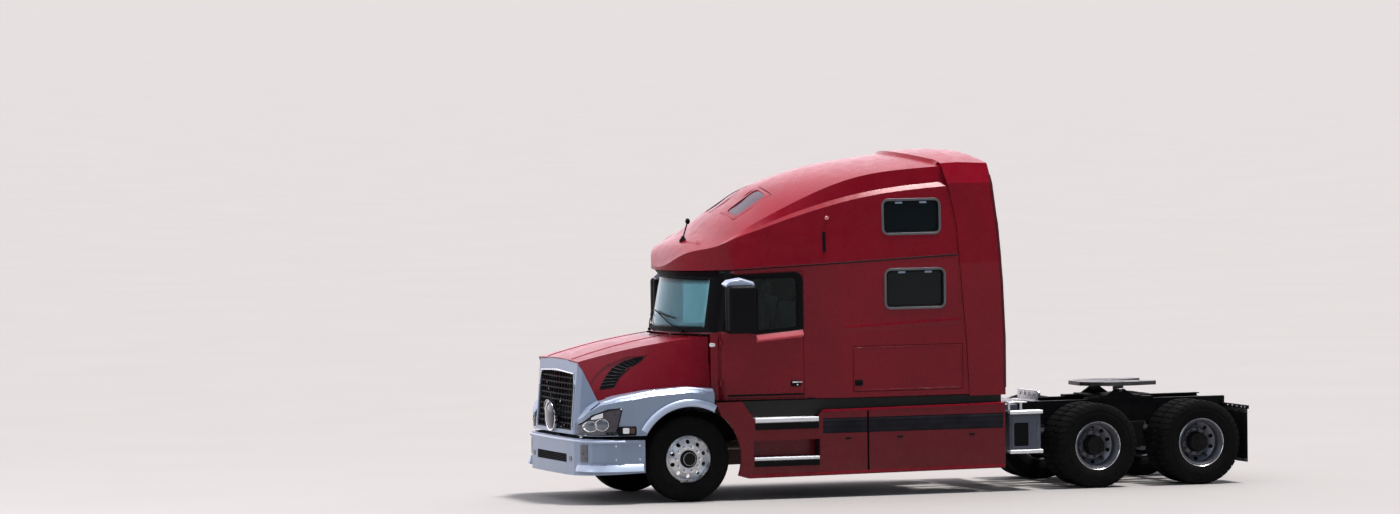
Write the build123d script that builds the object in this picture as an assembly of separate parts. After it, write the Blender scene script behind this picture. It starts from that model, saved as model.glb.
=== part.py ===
from build123d import *
import math
import os

# Semi truck tractor unit: conventional high-roof sleeper cab on a tandem-drive chassis.
# Stations are in millimetres, +X forward, +Y left, +Z up, with X measured from the front axle.
# Everything moves forward by SHIFT_X at export, so that the origin is below the middle of the truck.

# Driving dimensions
FRONT_X = 1300
REAR_X = -7100
SHIFT_X = -(FRONT_X + REAR_X) / 2
TYRE_R = 500
HUB_Z = TYRE_R
DRIVE_X = (-5100, -6420)
FIFTH_X = -5700
FRAME_TOP = 1000
FRAME_DEEP = 270
FRAME_HALF = 432
FLANGE = 85
WEB = 9

# Wheels
TYRE_WIDE = 276
RIM_R = 286
FRONT_TYRE_Y = 1035
DUAL_Y = (743, 1086)
SPINDLE_R = 40
KINGPIN_Y = 870
KINGPIN_R = 22

# Cab
FLOOR_Z = 1160
FLOOR_THICK = 80
COWL_Z = 1935
WALL = 55
CAB_BACK = -3500
SIDE_Y = 1205
GLASS = 6
GLASS_SET = 20
GAP = 5
SEAM = ((100, 2655), (-3500, 2812))

# Skins
HOOD_SKIN = 20
PANEL = 30


def box(x0, x1, y0, y1, z0, z1):
    block = Box(x1 - x0, y1 - y0, z1 - z0)
    return Pos((x0 + x1) / 2, (y0 + y1) / 2, (z0 + z1) / 2) * block


def prism_y(points, y0, y1):
    # points are (x, z)
    outline = Polyline(*[(x, y0, z) for x, z in points], close=True)
    return extrude(make_face(outline.edges()), amount=y1 - y0, dir=(0, 1, 0))


def prism_z(points, z0, z1):
    # points are (x, y)
    outline = Polyline(*[(x, y, z0) for x, y in points], close=True)
    return extrude(make_face(outline.edges()), amount=z1 - z0, dir=(0, 0, 1))


def prism_x(points, x0, x1):
    # points are (y, z)
    outline = Polyline(*[(x0, y, z) for y, z in points], close=True)
    return extrude(make_face(outline.edges()), amount=x1 - x0, dir=(1, 0, 0))


def rod_y(radius, x, z, y0, y1):
    return Pos(x, (y0 + y1) / 2, z) * Rot(90, 0, 0) * Cylinder(radius, y1 - y0)


def rod_z(radius, x, y, z0, z1):
    return Pos(x, y, (z0 + z1) / 2) * Cylinder(radius, z1 - z0)


def rod_x(radius, y, z, x0, x1):
    return Pos((x0 + x1) / 2, y, z) * Rot(0, 90, 0) * Cylinder(radius, x1 - x0)


def other_side(shape):
    return mirror(shape, about=Plane.XZ)


def both(shape):
    return shape + other_side(shape)


def largest(shape):
    # drops the crumbs that a cut leaves behind
    return max(shape.solids(), key=lambda solid: solid.volume)


def rounded_window(x0, x1, z0, z1, radius, y0, y1):
    pane = RectangleRounded(x1 - x0, z1 - z0, radius)
    plane = Plane(origin=((x0 + x1) / 2, y0, (z0 + z1) / 2), x_dir=(1, 0, 0), z_dir=(0, 1, 0))
    return extrude(plane * pane, amount=y1 - y0)


def ring(profile, x, y, z):
    # profile is (offset along Y, radius) pairs, turned about the wheel's axis
    outline = Polyline(*[(offset, radius, 0) for offset, radius in profile], close=True)
    turned = revolve(make_face(outline.edges()), axis=Axis.X, revolution_arc=360)
    return Pos(x, y, z) * Rot(0, 0, 90) * turned


# Wheels

def tyre(x, y):
    half = TYRE_WIDE / 2
    profile = (
        (-half + 22, RIM_R - 6),
        (-half, 370),
        (-half + 2, 420),
        (-half + 20, TYRE_R - 14),
        (-half + 40, TYRE_R),
        (half - 40, TYRE_R),
        (half - 20, TYRE_R - 14),
        (half - 2, 420),
        (half, 370),
        (half - 22, RIM_R - 6),
    )
    return ring(profile, x, y, HUB_Z)


def hand_holes(x, y):
    holes = []
    for number in range(10):
        turn = math.radians(36 * number + 18)
        hole = rod_y(24, x + 200 * math.cos(turn), HUB_Z + 200 * math.sin(turn), y - 150, y + 150)
        holes.append(hole)
    return holes


def wheel_disc(x, y, dish):
    # the disc stands at the offset called dish from the tyre's middle
    step = 1 if dish > 0 else -1
    profile = (
        (-112, RIM_R - 22),
        (-104, RIM_R - 10),
        (-60, RIM_R - 34),
        (60, RIM_R - 34),
        (104, RIM_R - 10),
        (112, RIM_R - 22),
        (62, RIM_R - 48),
        (-62, RIM_R - 48),
    )
    rim = ring(profile, x, y, HUB_Z)
    outer = (
        (dish - step * 10, 90),
        (dish - step * 10, 160),
        (step * 44, RIM_R - 46),
        (step * 56, RIM_R - 40),
        (dish + step * 4, 170),
        (dish + step * 4, 90),
    )
    disc = ring(outer, x, y, HUB_Z)
    for hole in hand_holes(x, y):
        disc = disc - hole
    return rim + disc


def front_rim(side):
    y = side * FRONT_TYRE_Y
    disc = wheel_disc(0, y, side * 100)
    hub = ring(((side * -40, SPINDLE_R + 0.6), (side * -40, 80), (side * 92, 112), (side * 106, 112),
                (side * 106, 88), (side * 150, 76), (side * 150, 0.0), (side * 142, 0.0),
                (side * 142, SPINDLE_R + 0.6)), 0, y, HUB_Z)
    return disc + hub


def drive_rim(x, side):
    outer = wheel_disc(x, side * DUAL_Y[1], side * -100)
    inner = wheel_disc(x, side * DUAL_Y[0], side * 100)
    middle = side * (DUAL_Y[0] + DUAL_Y[1]) / 2
    hub = ring(((side * -260, SPINDLE_R + 0.6), (side * -260, 195), (side * -40, 195), (side * -40, 175),
                (side * 62, 170), (side * 84, 112), (side * 215, 95), (side * 215, 0.0),
                (side * 205, 0.0), (side * 205, SPINDLE_R + 0.6)), x, middle, HUB_Z)
    return outer + inner + hub


# Running gear

def chassis_frame():
    low = FRAME_TOP - FRAME_DEEP
    web = box(REAR_X + 60, 1060, FRAME_HALF - WEB, FRAME_HALF, low, FRAME_TOP)
    top = box(REAR_X + 60, 1060, FRAME_HALF - FLANGE, FRAME_HALF, FRAME_TOP - WEB, FRAME_TOP)
    bottom = box(REAR_X + 60, 1060, FRAME_HALF - FLANGE, FRAME_HALF, low, low + WEB)
    frame = both(web + top + bottom)
    inside = FRAME_HALF - WEB
    for x in (1000, -1900, -3300, -4350, -5760, -6990):
        wide = box(x - 45, x + 45, -inside, inside, low + 40, low + 50)
        high = box(x - 45, x + 45, -inside, inside, FRAME_TOP - 50, FRAME_TOP - 40)
        wall = box(x - 5, x + 5, -inside, inside, low + 50, FRAME_TOP - 50)
        frame = frame + wide + high + wall
    return frame


def front_axle():
    beam = box(-45, 45, -600, 600, 370, 450)
    drop = prism_x(((600, 370), (600, 450), (790, 540), (790, 460)), -45, 45)
    boss = rod_z(48, 0, KINGPIN_Y, 440, 560) + box(-40, 40, 780, KINGPIN_Y, 462, 538)
    boss = boss - rod_z(KINGPIN_R + 0.5, 0, KINGPIN_Y, 400, 600)
    return beam + both(drop + boss)


def knuckle(side):
    arms = rod_z(50, 0, KINGPIN_Y, 566, 610) + rod_z(50, 0, KINGPIN_Y, 390, 434)
    webs = box(-45, 45, KINGPIN_Y, 955, 566, 610) + box(-45, 45, KINGPIN_Y, 955, 390, 434)
    back = box(-55, 55, 935, 965, 390, 610)
    pin = rod_z(KINGPIN_R, 0, KINGPIN_Y, 380, 620)
    spindle = rod_y(SPINDLE_R, 0, HUB_Z, 960, FRONT_TYRE_Y + 138)
    steer_arm = box(-260, -40, 800, 830, 395, 420) + box(-60, -30, 800, 890, 395, 420)
    piece = arms + webs + back + pin + spindle + steer_arm
    return piece if side > 0 else other_side(piece)


def suspension():
    leaf = prism_y(((760, 700), (740, 640), (0, 462), (-760, 640), (-800, 700), (-770, 700), (-740, 665),
                    (-300, 560), (-80, 520), (80, 520), (300, 560), (720, 665), (735, 700)), 390, 470)
    perch = box(-70, 70, 385, 475, 450, 466)
    hanger = box(700, 800, 398, 430, 700, 730.0) + box(-830, -740, 398, 430, 700, 730.0)
    front = leaf + perch + hanger
    rear = None
    for x in DRIVE_X:
        hanger = prism_y(((x + 640, 730), (x + 460, 730), (x + 510, 420), (x + 590, 420)), 440, 540)
        arm = prism_y(((x + 580, 520), (x + 520, 440), (x + 100, 380), (x - 420, 380), (x - 420, 430),
                       (x - 60, 430), (x + 60, 435)), 450, 530)
        bag = rod_z(120, x - 320, 475, 430, 650) + rod_z(132, x - 320, 475, 480, 530)
        bag = bag + rod_z(132, x - 320, 475, 560, 610)
        seat = box(x - 420, x - 220, 432, 560, 650, 740)
        piece = hanger + arm + bag + seat
        rear = piece if rear is None else rear + piece
    return both(front + rear)


def drive_axles():
    housings = None
    for x in DRIVE_X:
        tube = rod_y(62, x, HUB_Z, -640, 640)
        spindle = rod_y(SPINDLE_R, x, HUB_Z, -1112, 1112)
        bowl = Pos(x, 0, HUB_Z) * Rot(90, 0, 0) * Cylinder(200, 230)
        nose = rod_x(95, 0, HUB_Z + 60, x + 150, x + 420)
        saddle = both(box(x - 60, x + 60, 455, 525, 435, 500))
        piece = tube + spindle + bowl + nose + saddle
        housings = piece if housings is None else housings + piece
    return housings


def driveline():
    gearbox = box(-1550, -550, -170, 170, 640, 960) + box(-700, -405, -260, 260, 620, 980)
    shaft = rod_x(50, 0, 700, -4680, -1550)
    between = rod_x(45, 0, 560, -6000, -5300)
    muffler = rod_x(170, -760, 640, -2050, -900)
    pipe = rod_x(50, -760, 640, -2200, -2050) + rod_z(50, -2200, -760, 400, 690)
    inlet = rod_x(55, -760, 640, -900, -700)
    return (gearbox + shaft), between, (muffler + pipe + inlet)


def tanks():
    fuel = rod_x(290, 800, 660, -3800, -2300)
    for x in (-2600, -3500):
        fuel = fuel + box(x - 40, x + 40, FRAME_HALF, 620, 740, 960)
        fuel = fuel + box(x - 40, x + 40, FRAME_HALF, 800, 340, 380)
        fuel = fuel + box(x - 40, x + 40, FRAME_HALF, FRAME_HALF + 30, 340, 960)
    air = rod_x(120, 180, 560, -3000, -2100) + box(-2600, -2500, 150, 345, 680, 735)
    return both(fuel), both(air)


def deck_steps():
    deck = box(-4480, -3980, -430, 430, FRAME_TOP, FRAME_TOP + 12)
    deck = deck + box(-4480, -3980, -430, -400, FRAME_TOP + 12, FRAME_TOP + 30)
    housing = box(-4380, -3990, 500, 1180, 480, 900)
    bracket = box(-4300, -4050, FRAME_HALF, 500, 760, 980)
    tread = box(-4390, -3985, 900, 1215, 905, 935) + box(-4200, -3985, 432, 900, 905, 1000)
    lower = box(-4400, -3995, 1010, 1215, 440, 470) + box(-4395, -4000, 1010, 1180, 470, 480)
    left = housing + bracket + tread + lower
    return deck, both(left)


def fifth_wheel_base():
    rails = both(box(FIFTH_X - 420, FIFTH_X + 420, 300, 440, FRAME_TOP, FRAME_TOP + 25))
    plate = box(FIFTH_X - 260, FIFTH_X + 260, -430, 430, FRAME_TOP + 25, FRAME_TOP + 40)
    bracket = prism_y(((FIFTH_X - 170, FRAME_TOP + 40), (FIFTH_X + 170, FRAME_TOP + 40),
                       (FIFTH_X + 60, FRAME_TOP + 112), (FIFTH_X + 40, FRAME_TOP + 135),
                       (FIFTH_X - 40, FRAME_TOP + 135), (FIFTH_X - 60, FRAME_TOP + 112)), 385, 425)
    bracket = bracket - rod_y(20.5, FIFTH_X, FRAME_TOP + 100, 370, 440)
    return rails + plate + both(bracket)


def fifth_wheel_plate():
    top_z = 1200
    half = 455
    outline = ((FIFTH_X + 330, -300), (FIFTH_X + 420, -180), (FIFTH_X + 420, 180), (FIFTH_X + 330, 300),
               (FIFTH_X + 120, half), (FIFTH_X - 200, half), (FIFTH_X - 480, 380), (FIFTH_X - 520, 240),
               (FIFTH_X - 300, 95), (FIFTH_X - 60, 40), (FIFTH_X - 60, -40), (FIFTH_X - 300, -95),
               (FIFTH_X - 520, -240), (FIFTH_X - 480, -380), (FIFTH_X - 200, -half), (FIFTH_X + 120, -half))
    plate = prism_z(outline, top_z - 45, top_z)
    plate = plate - rod_z(25.4, FIFTH_X, 0, top_z - 100, top_z + 10)
    ears = both(box(FIFTH_X - 60, FIFTH_X + 60, 345, 380, FRAME_TOP + 70, top_z - 45))
    pins = both(rod_y(20, FIFTH_X, FRAME_TOP + 100, 350, 440))
    return plate + ears + pins


def mudflaps():
    flap = box(-7010, -7000, 610, 1210, 250, 880)
    hanger = box(-7030, -6990, FRAME_HALF, 1210, 880, 920)
    return both(flap + hanger)


def tail_lamps():
    bar = box(-7100, -7040, -FRAME_HALF, FRAME_HALF, 760, 900)
    return bar


# Cab

def cab_plan(inset, lean):
    # half widths at stations, with the windscreen's arc between the front corners
    corner_x = -450 - lean
    apex_x = 0 - lean
    front = ThreePointArc((corner_x, -985 + inset, 0), (apex_x - inset, 0, 0), (corner_x, 985 - inset, 0))
    side = Polyline(
        (corner_x, 985 - inset, 0),
        (-500 - lean, 1035 - inset, 0),
        (-1460, 1100 - inset, 0),
        (-1900, SIDE_Y - inset, 0),
        (CAB_BACK + inset, SIDE_Y - inset, 0),
        (CAB_BACK + inset, -SIDE_Y + inset, 0),
        (-1900, -SIDE_Y + inset, 0),
        (-1460, -1100 + inset, 0),
        (-500 - lean, -1035 + inset, 0),
        (corner_x, -985 + inset, 0),
    )
    return make_face(front.edges() + side.edges())


def cab_body(inset, low, cowl, high):
    # the upper part has the bulging windscreen, the lower part a flat firewall
    lean_per_z = 130 / 700
    base = Pos(0, 0, cowl) * cab_plan(inset, (cowl - 1950) * lean_per_z)
    top = Pos(0, 0, high) * cab_plan(inset, (high - 1950) * lean_per_z)
    upper = loft([base, top], ruled=True)
    lower = prism_z((
        (-420 - inset, 985 - inset),
        (-500, 1035 - inset),
        (-1460, 1100 - inset),
        (-1900, SIDE_Y - inset),
        (CAB_BACK + inset, SIDE_Y - inset),
        (CAB_BACK + inset, -SIDE_Y + inset),
        (-1900, -SIDE_Y + inset),
        (-1460, -1100 + inset),
        (-500, -1035 + inset),
        (-420 - inset, -985 + inset),
    ), low, cowl + 1)
    return upper + lower


def cowl_sides():
    # panels between the hood's rear edge and the door
    return both(box(-425, -333, 980, 1012, FLOOR_Z, COWL_Z))


def door_hinges():
    # fixed knuckles on the axis of each door's hinge
    lugs = None
    for z in (1330, 1800):
        lug = rod_z(9, -455, 1034, z, z + 70) + box(-455, -428, 1000, 1040, z + 5, z + 65)
        lugs = lug if lugs is None else lugs + lug
    return both(lugs)


def above_seam(extra=0):
    (x0, z0), (x1, z1) = SEAM
    return prism_y(((x0, z0 + extra), (x1, z1 + extra), (x1, 4600), (x0, 4600)), -1500, 1500)


# Roof lines from the brow to the back, as (x, value)
CROWN_LINE = ((60, 2700), (-60, 2745), (-225, 2950), (-445, 3070), (-760, 3317), (-1137, 3565), (-1450, 3700),
              (-2017, 3848), (-2600, 3935), (-3000, 3970), (-3500, 3988))
SHOULDER_LINE = ((60, 2670), (-225, 2850), (-445, 2960), (-784, 3156), (-1345, 3440), (-1657, 3575),
                 (-1970, 3690), (-2283, 3762), (-2596, 3802), (-3000, 3832), (-3500, 3850))
LEDGE_LINE = ((60, 2655), (-225, 2830), (-600, 3030), (-1157, 3225), (-1593, 3360), (-1905, 3440),
              (-2217, 3505), (-2530, 3550), (-3000, 3595), (-3500, 3618))
WALL_LINE = ((60, 960), (-225, 1030), (-600, 1095), (-1100, 1148), (-1500, 1185), (-1900, 1209), (-2400, 1213),
             (-3500, 1215))
LEDGE_Y_LINE = ((60, 925), (-225, 990), (-600, 1045), (-1100, 1100), (-1500, 1138), (-1900, 1165),
                (-2400, 1176), (-3500, 1180))
LEDGE_WIDTH_LINE = ((60, 4), (-600, 10), (-1100, 40), (-1700, 58), (-3500, 62))
SHOULDER_Y_LINE = ((60, 890), (-225, 925), (-600, 965), (-1100, 1012), (-1500, 1045), (-1900, 1072),
                   (-2400, 1088), (-3500, 1094))
ROOF_CUTS = (60, -70, -200, -350, -540, -780, -1080, -1430, -1830, -2240, -2660, -3080, -3500)
ROOF_LOW = 2600


def along(line, x):
    # smooth value of a line at a station, with Hermite pieces that never overshoot
    slopes = [(line[i + 1][1] - line[i][1]) / (line[i + 1][0] - line[i][0]) for i in range(len(line) - 1)]
    ends = [slopes[0]]
    for before, after in zip(slopes, slopes[1:]):
        ends.append(2 * before * after / (before + after) if before * after > 0 else 0)
    ends.append(slopes[-1])
    for i in range(len(line) - 1):
        (x0, y0), (x1, y1) = line[i], line[i + 1]
        if x >= x1 or i == len(line) - 2:
            span = x1 - x0
            t = (x - x0) / span
            return (y0 * (1 + 2 * t) * (1 - t) ** 2 + ends[i] * span * t * (1 - t) ** 2
                    + y1 * t * t * (3 - 2 * t) - ends[i + 1] * span * t * t * (1 - t))


def roof_section(x, inset):
    ledge_y = along(LEDGE_Y_LINE, x)
    ledge_z = along(LEDGE_LINE, x)
    ledge = along(LEDGE_WIDTH_LINE, x)
    points = (
        (along(WALL_LINE, x) - inset, ROOF_LOW),
        (ledge_y - inset, ledge_z - inset / 2),
        (ledge_y - ledge - inset, ledge_z + 0.85 * ledge - inset / 2),
        (along(SHOULDER_Y_LINE, x) - inset, along(SHOULDER_LINE, x) - inset),
    )
    top_y, top_z = points[3]
    right = Polyline(*[(-y, z) for y, z in points])
    crown = ThreePointArc((-top_y, top_z), (0, along(CROWN_LINE, x) - inset), (top_y, top_z))
    left = Polyline(*reversed(points))
    base = Line(points[0], (-points[0][0], ROOF_LOW))
    face = make_face(right.edges() + crown.edges() + left.edges() + base.edges())
    return Plane.YZ.offset(x) * face


def roof_body(inset):
    body = loft([roof_section(x, inset) for x in ROOF_CUTS])
    lip = -30 - inset
    corner = -600 - inset
    front = ThreePointArc((corner, -1090 + inset, 0), (lip, 0, 0), (corner, 1090 - inset, 0))
    rest = Polyline((corner, 1090 - inset, 0), (corner - 200, 1300, 0), (CAB_BACK + inset, 1300, 0),
                    (CAB_BACK + inset, -1300, 0), (corner - 200, -1300, 0), (corner, -1090 + inset, 0))
    plan = extrude(make_face(front.edges() + rest.edges()), amount=5000, dir=(0, 0, 1))
    return body & plan


EXTENDER_OUTLINE = ((-3480, 1140), (-3450, 1790), (-3370, 2710), (-3340, 3150), (-3280, 3440), (-3170, 3910),
                    (-2860, 4010), (-2900, 4060), (-3600, 4060), (-3680, 3975), (-3770, 3870), (-3800, 3610),
                    (-3870, 3080), (-3920, 2370), (-3940, 1900), (-3940, 1140))


EXTENDER_TAPER = 30
EXTENDER_DROP = 24


def extender_face(x, inset, drop=0):
    side = SIDE_Y + 11 - inset
    points = ((side, 1140), (side, 2700), (1188 - inset, 3640), (1096 - inset, 3884 - drop - inset))
    crown = ThreePointArc((-points[3][0], points[3][1]), (0, 4018 - drop - inset), points[3])
    left = Polyline(*reversed(points))
    right = Polyline(*[(-y, z) for y, z in points])
    base = Line(points[0], (-side, 1140))
    face = make_face(right.edges() + crown.edges() + left.edges() + base.edges())
    return Plane.YZ.offset(x) * face


def extender_section(inset):
    # the front edge of the top comes down close to the roof
    return loft([extender_face(-2800, inset, EXTENDER_DROP), extender_face(-3400, inset),
                 extender_face(-4000, inset + EXTENDER_TAPER)], ruled=True)


def extenders():
    skin = extender_section(0) - extender_section(PANEL)
    return skin & prism_y(EXTENDER_OUTLINE, -1300, 1300)


DOOR = ((-455, 1175), (-1455, 1175), (-1455, 2655), (-575, 2625), (-500, 2200), (-455, 1960))
DOOR_WINDOW = (-1395, -560, 1945, 2590)
LUGGAGE = (-3400, -2025, 1225, 1760)
LOW_WINDOW = (-3170, -2450, 2200, 2635)
HIGH_WINDOW = (-3120, -2430, 3070, 3450)
SKYLIGHT = (-1240, -760, 180, 640)


def door_block(gap, y0, y1):
    points = []
    middle_x = -950
    middle_z = 1900
    for x, z in DOOR:
        points.append((x + (gap if x < middle_x else -gap), z + (gap if z < middle_z else -gap)))
    return prism_y(points, y0, y1)


def door_window_cut(grow, y0, y1):
    x0, x1, z0, z1 = DOOR_WINDOW
    slant = 60
    points = ((x0 - grow, z0 + 40 - grow), (x0 - grow, z1 + grow), (x1 - slant + grow, z1 + grow),
              (x1 + grow, z0 + 200), (x1 + grow, z0 - grow), (-900, z0 - grow))
    return prism_y(points, y0, y1)


def window_cut(limits, grow, y0, y1):
    x0, x1, z0, z1 = limits
    return rounded_window(x0 - grow, x1 + grow, z0 - grow, z1 + grow, 60 + grow, y0, y1)


def build_cab():
    pieces = {}
    outer = cab_body(0, FLOOR_Z, COWL_Z, 2840) - above_seam()
    inner = cab_body(WALL, FLOOR_Z + FLOOR_THICK, COWL_Z + 25, 2900)
    shell = outer - inner
    pane_solid = cab_body(GLASS_SET, FLOOR_Z - 50, COWL_Z, 2840)
    pane_solid = pane_solid - cab_body(GLASS_SET + GLASS, FLOOR_Z - 60, COWL_Z, 2840)
    extender = extenders()
    pieces["extenders"] = extender
    extender_room = (extender_section(-20) - extender_section(PANEL + 3)) & prism_y(
        [(x + 3 if x > -3500 and z < 3950 else x, z) for x, z in EXTENDER_OUTLINE], -1400, 1400)

    # doors, cut out of the same walls
    door_room = door_block(0, 955, 1300)
    left_door = (shell & door_block(GAP, 960, 1300)) - door_window_cut(0, 800, 1300)
    left_glass = pane_solid & door_window_cut(12, 900, 1300)
    left_door = left_door - left_glass
    pieces["door_left"] = left_door
    pieces["door_right"] = other_side(left_door)
    pieces["door_glass_left"] = left_glass
    pieces["door_glass_right"] = other_side(left_glass)
    luggage_room = box(LUGGAGE[0], LUGGAGE[1], 1000, 1300, LUGGAGE[2], LUGGAGE[3])
    luggage = shell & box(LUGGAGE[0] + GAP, LUGGAGE[1] - GAP, 1100, 1300, LUGGAGE[2] + GAP, LUGGAGE[3] - GAP)
    pieces["luggage_door_left"] = luggage
    pieces["luggage_door_right"] = other_side(luggage)

    # fixed glass
    screen_cut = prism_x(((-900, 1990), (900, 1990), (870, 2600), (-870, 2600)), -520, 100)
    screen_room = prism_x(((-912, 1978), (912, 1978), (882, 2612), (-882, 2612)), -520, 100)
    screen = pane_solid & screen_room
    low_panes = both(pane_solid & window_cut(LOW_WINDOW, 12, 1000, 1300))
    roof_outer = roof_body(0)
    roof_inner = roof_body(WALL - 15)
    roof_pane = roof_body(GLASS_SET - 8) - roof_body(GLASS_SET - 8 + GLASS)
    high_panes = both(roof_pane & window_cut(HIGH_WINDOW, 12, 1000, 1300))
    sky_x0, sky_x1, sky_y0, sky_y1 = SKYLIGHT
    sky_cut = box(sky_x0, sky_x1, sky_y0, sky_y1, 3000, 3900)
    sky_panes = both(roof_pane & box(sky_x0 - 12, sky_x1 + 12, sky_y0 - 12, sky_y1 + 12, 3000, 3900))
    glass = screen + low_panes + high_panes + sky_panes
    pieces["cab_glass"] = glass

    # shell without its openings
    shell = shell - both(door_room) - both(luggage_room) - screen_cut
    shell = shell - both(window_cut(LOW_WINDOW, 0, 1000, 1300)) - extender_room
    shell = shell - screen - low_panes
    pieces["cab_shell"] = shell + cowl_sides() + door_hinges()

    # roof moulding with a flange that rests on the walls
    flange = (roof_outer & above_seam()) - above_seam(30)
    flange = flange - cab_body(WALL, 2000, 2100, 2900)
    roof = ((roof_outer - roof_inner) & above_seam()) + flange
    roof = roof - both(window_cut(HIGH_WINDOW, 0, 1000, 1300)) - both(sky_cut) - extender_room
    roof = roof - high_panes - sky_panes
    pieces["roof"] = largest(roof)
    return pieces


# Cab interior

def dashboard():
    body = prism_y(((-480, 1640), (-480, 1925), (-560, 1960), (-700, 1950), (-790, 1830), (-760, 1600),
                    (-640, 1560)), -900, 900)
    top = prism_z(((-180, -500), (-180, 500), (-480, 850), (-480, -850)), 1962, 1985)
    wheel = Torus(215, 16)
    hub = Cylinder(60, 40)
    spokes = Box(400, 40, 16) + Box(40, 400, 16)
    steering = wheel + hub + spokes
    column = Pos(0, 0, -110) * Cylinder(30, 200)
    placed = Pos(-960, 520, 1960) * Rot(0, -28, 0) * (steering + column)
    return body, top, placed


def seats():
    pedestal = box(-1420, -1080, 380, 720, FLOOR_Z + FLOOR_THICK, 1560)
    cushion = box(-1500, -990, 300, 800, 1560, 1690)
    back = prism_y(((-1500, 1690), (-1380, 1690), (-1520, 2300), (-1610, 2300)), 320, 780)
    head = prism_y(((-1530, 2310), (-1620, 2310), (-1660, 2480), (-1575, 2480)), 430, 670)
    post = prism_y(((-1560, 2300), (-1590, 2300), (-1592, 2310), (-1562, 2310)), 500, 600)
    return both(pedestal + cushion + back + head + post)


def bunks():
    lower_base = box(-3350, -2500, -1145, 1145, 1780, 1820)
    lower = box(-3340, -2510, -1100, 1100, 1820, 1980)
    upper_base = box(-3350, -2650, -1145, 1145, 2720, 2760)
    upper = box(-3340, -2660, -1100, 1100, 2760, 2880)
    return (lower_base + lower), (upper_base + upper)


# Nose, all on the hood's hinge: hood skin, grille surround, grille, fenders and lamps

# Columns: x, crease y and z, crown z, foot y
HOOD_STATIONS = (
    (1215, 722, 1640, 1662, 838),
    (800, 772, 1740, 1778, 890),
    (250, 850, 1842, 1888, 965),
    (-325, 930, 1905, 1962, 1015),
)
HOOD_FOOT = 1180


def hood_section(station, inset):
    x, crease_y, crease_z, crown_z, foot_y = station
    crown = ThreePointArc((-crease_y + inset, crease_z - inset), (0, crown_z - inset),
                          (crease_y - inset, crease_z - inset))
    rest = Polyline((crease_y - inset, crease_z - inset), (foot_y - inset, HOOD_FOOT),
                    (-foot_y + inset, HOOD_FOOT), (-crease_y + inset, crease_z - inset))
    return Plane.YZ.offset(x) * make_face(crown.edges() + rest.edges())


def hood_body(inset):
    return loft([hood_section(station, inset) for station in HOOD_STATIONS])


HOOD_VENT = ((1120, 1290), (1060, 1420), (1000, 1505), (886, 1595), (640, 1690), (390, 1705), (500, 1600),
             (640, 1560), (730, 1500), (775, 1330))


def hood():
    skin = hood_body(0) - hood_body(HOOD_SKIN) - box(-400, 1300, -780, 780, 1000, 1300)
    nose_room = prism_y(((1400, 1800), (1400, 1000), (930, 1000), (1030, 1204), (1206, 1640), (1215, 1800)),
                        -1200, 1200)
    vent = prism_y(HOOD_VENT, 500, 1200) & (hood_body(-5) - hood_body(12))
    return skin - nose_room - cab_body(-40, 1500, 1600, 2300) - both(vent)


# half of the nose's plan from the centre to the lamp, and how far it leans back at the top
NOSE_PLAN = ((1288, 0), (1266, 690), (1228, 775), (1060, 915), (900, 960))
NOSE_LOW = 780
NOSE_HIGH = 1672
NOSE_LEAN = 72


def nose_outline(inset, lean, z):
    half = [(x - inset - lean, max(y - inset, 0), z) for x, y in NOSE_PLAN]
    rest = [(500, half[-1][1], z), (500, -half[-1][1], z)] + [(x, -y, z) for x, y, z in reversed(half[1:])]
    return make_face(Polyline(*(half + rest), close=True).edges())


def nose_block(inset):
    return loft([nose_outline(inset, 0, NOSE_LOW), nose_outline(inset, NOSE_LEAN, NOSE_HIGH)], ruled=True)


def grille_surround():
    skin = nose_block(0) - nose_block(PANEL)
    top = nose_block(0) & box(1000, 1400, -690, 690, 1622, 1652)
    side = prism_y(((1400, 1652), (1208, 1652), (1034, 1204), (940, 1110), (940, 800), (1400, 800)), -1200, 1200)
    opening = prism_x(((-625, 846), (625, 846), (625, 1455), (575, 1510), (-575, 1510), (-625, 1455)), 1000, 1400)
    return ((skin + top) & side) - opening


def grille():
    sheet = nose_block(10) - nose_block(24)
    sheet = sheet & box(1100, 1300, -650, 650, 830, 1530)
    slots = None
    rows = 10
    pitch = 66
    for row in range(rows):
        z = 862 + row * pitch
        slot = box(1000, 1400, -612, 612, z, z + 48)
        slots = slot if slots is None else slots + slot
    mesh = sheet - slots
    for number in range(-6, 7):
        y = number * 94
        mesh = mesh + (sheet & box(1100, 1300, y - 6, y + 6, 840, 1520))
    return mesh


# outer plan of the fender and lamp, and the line of the fender's top edge, as (x, y) and (x, z)
CORNER_PLAN = ((1250, 640), (1245, 800), (1222, 920), (1165, 1025), (1060, 1110), (900, 1175), (700, 1203),
               (-305, 1205))
EYEBROW = ((1275, 940), (1225, 1003), (1150, 1112), (1060, 1185), (840, 1247), (467, 1306), (0, 1338),
           (-305, 1312))
LENS = ((1300, 800), (1300, 860), (1150, 1036), (985, 1106), (815, 1122), (895, 800))
FENDER_LOW = 792
ARCH_R = 612


# Columns: station x at the fender's edge, and how far its rounded shoulder reaches down

SHOULDERS = ((-330, 60), (0, 60), (467, 60), (700, 58), (840, 52), (900, 48), (1060, 34), (1165, 12))
WEDGE_OVER = 15


def straight(line, x):
    for (x0, y0), (x1, y1) in zip(line, line[1:]):
        if min(x0, x1) <= x <= max(x0, x1):
            return y0 + (y1 - y0) * (x - x0) / (x1 - x0)
    return line[-1][1]


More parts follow.
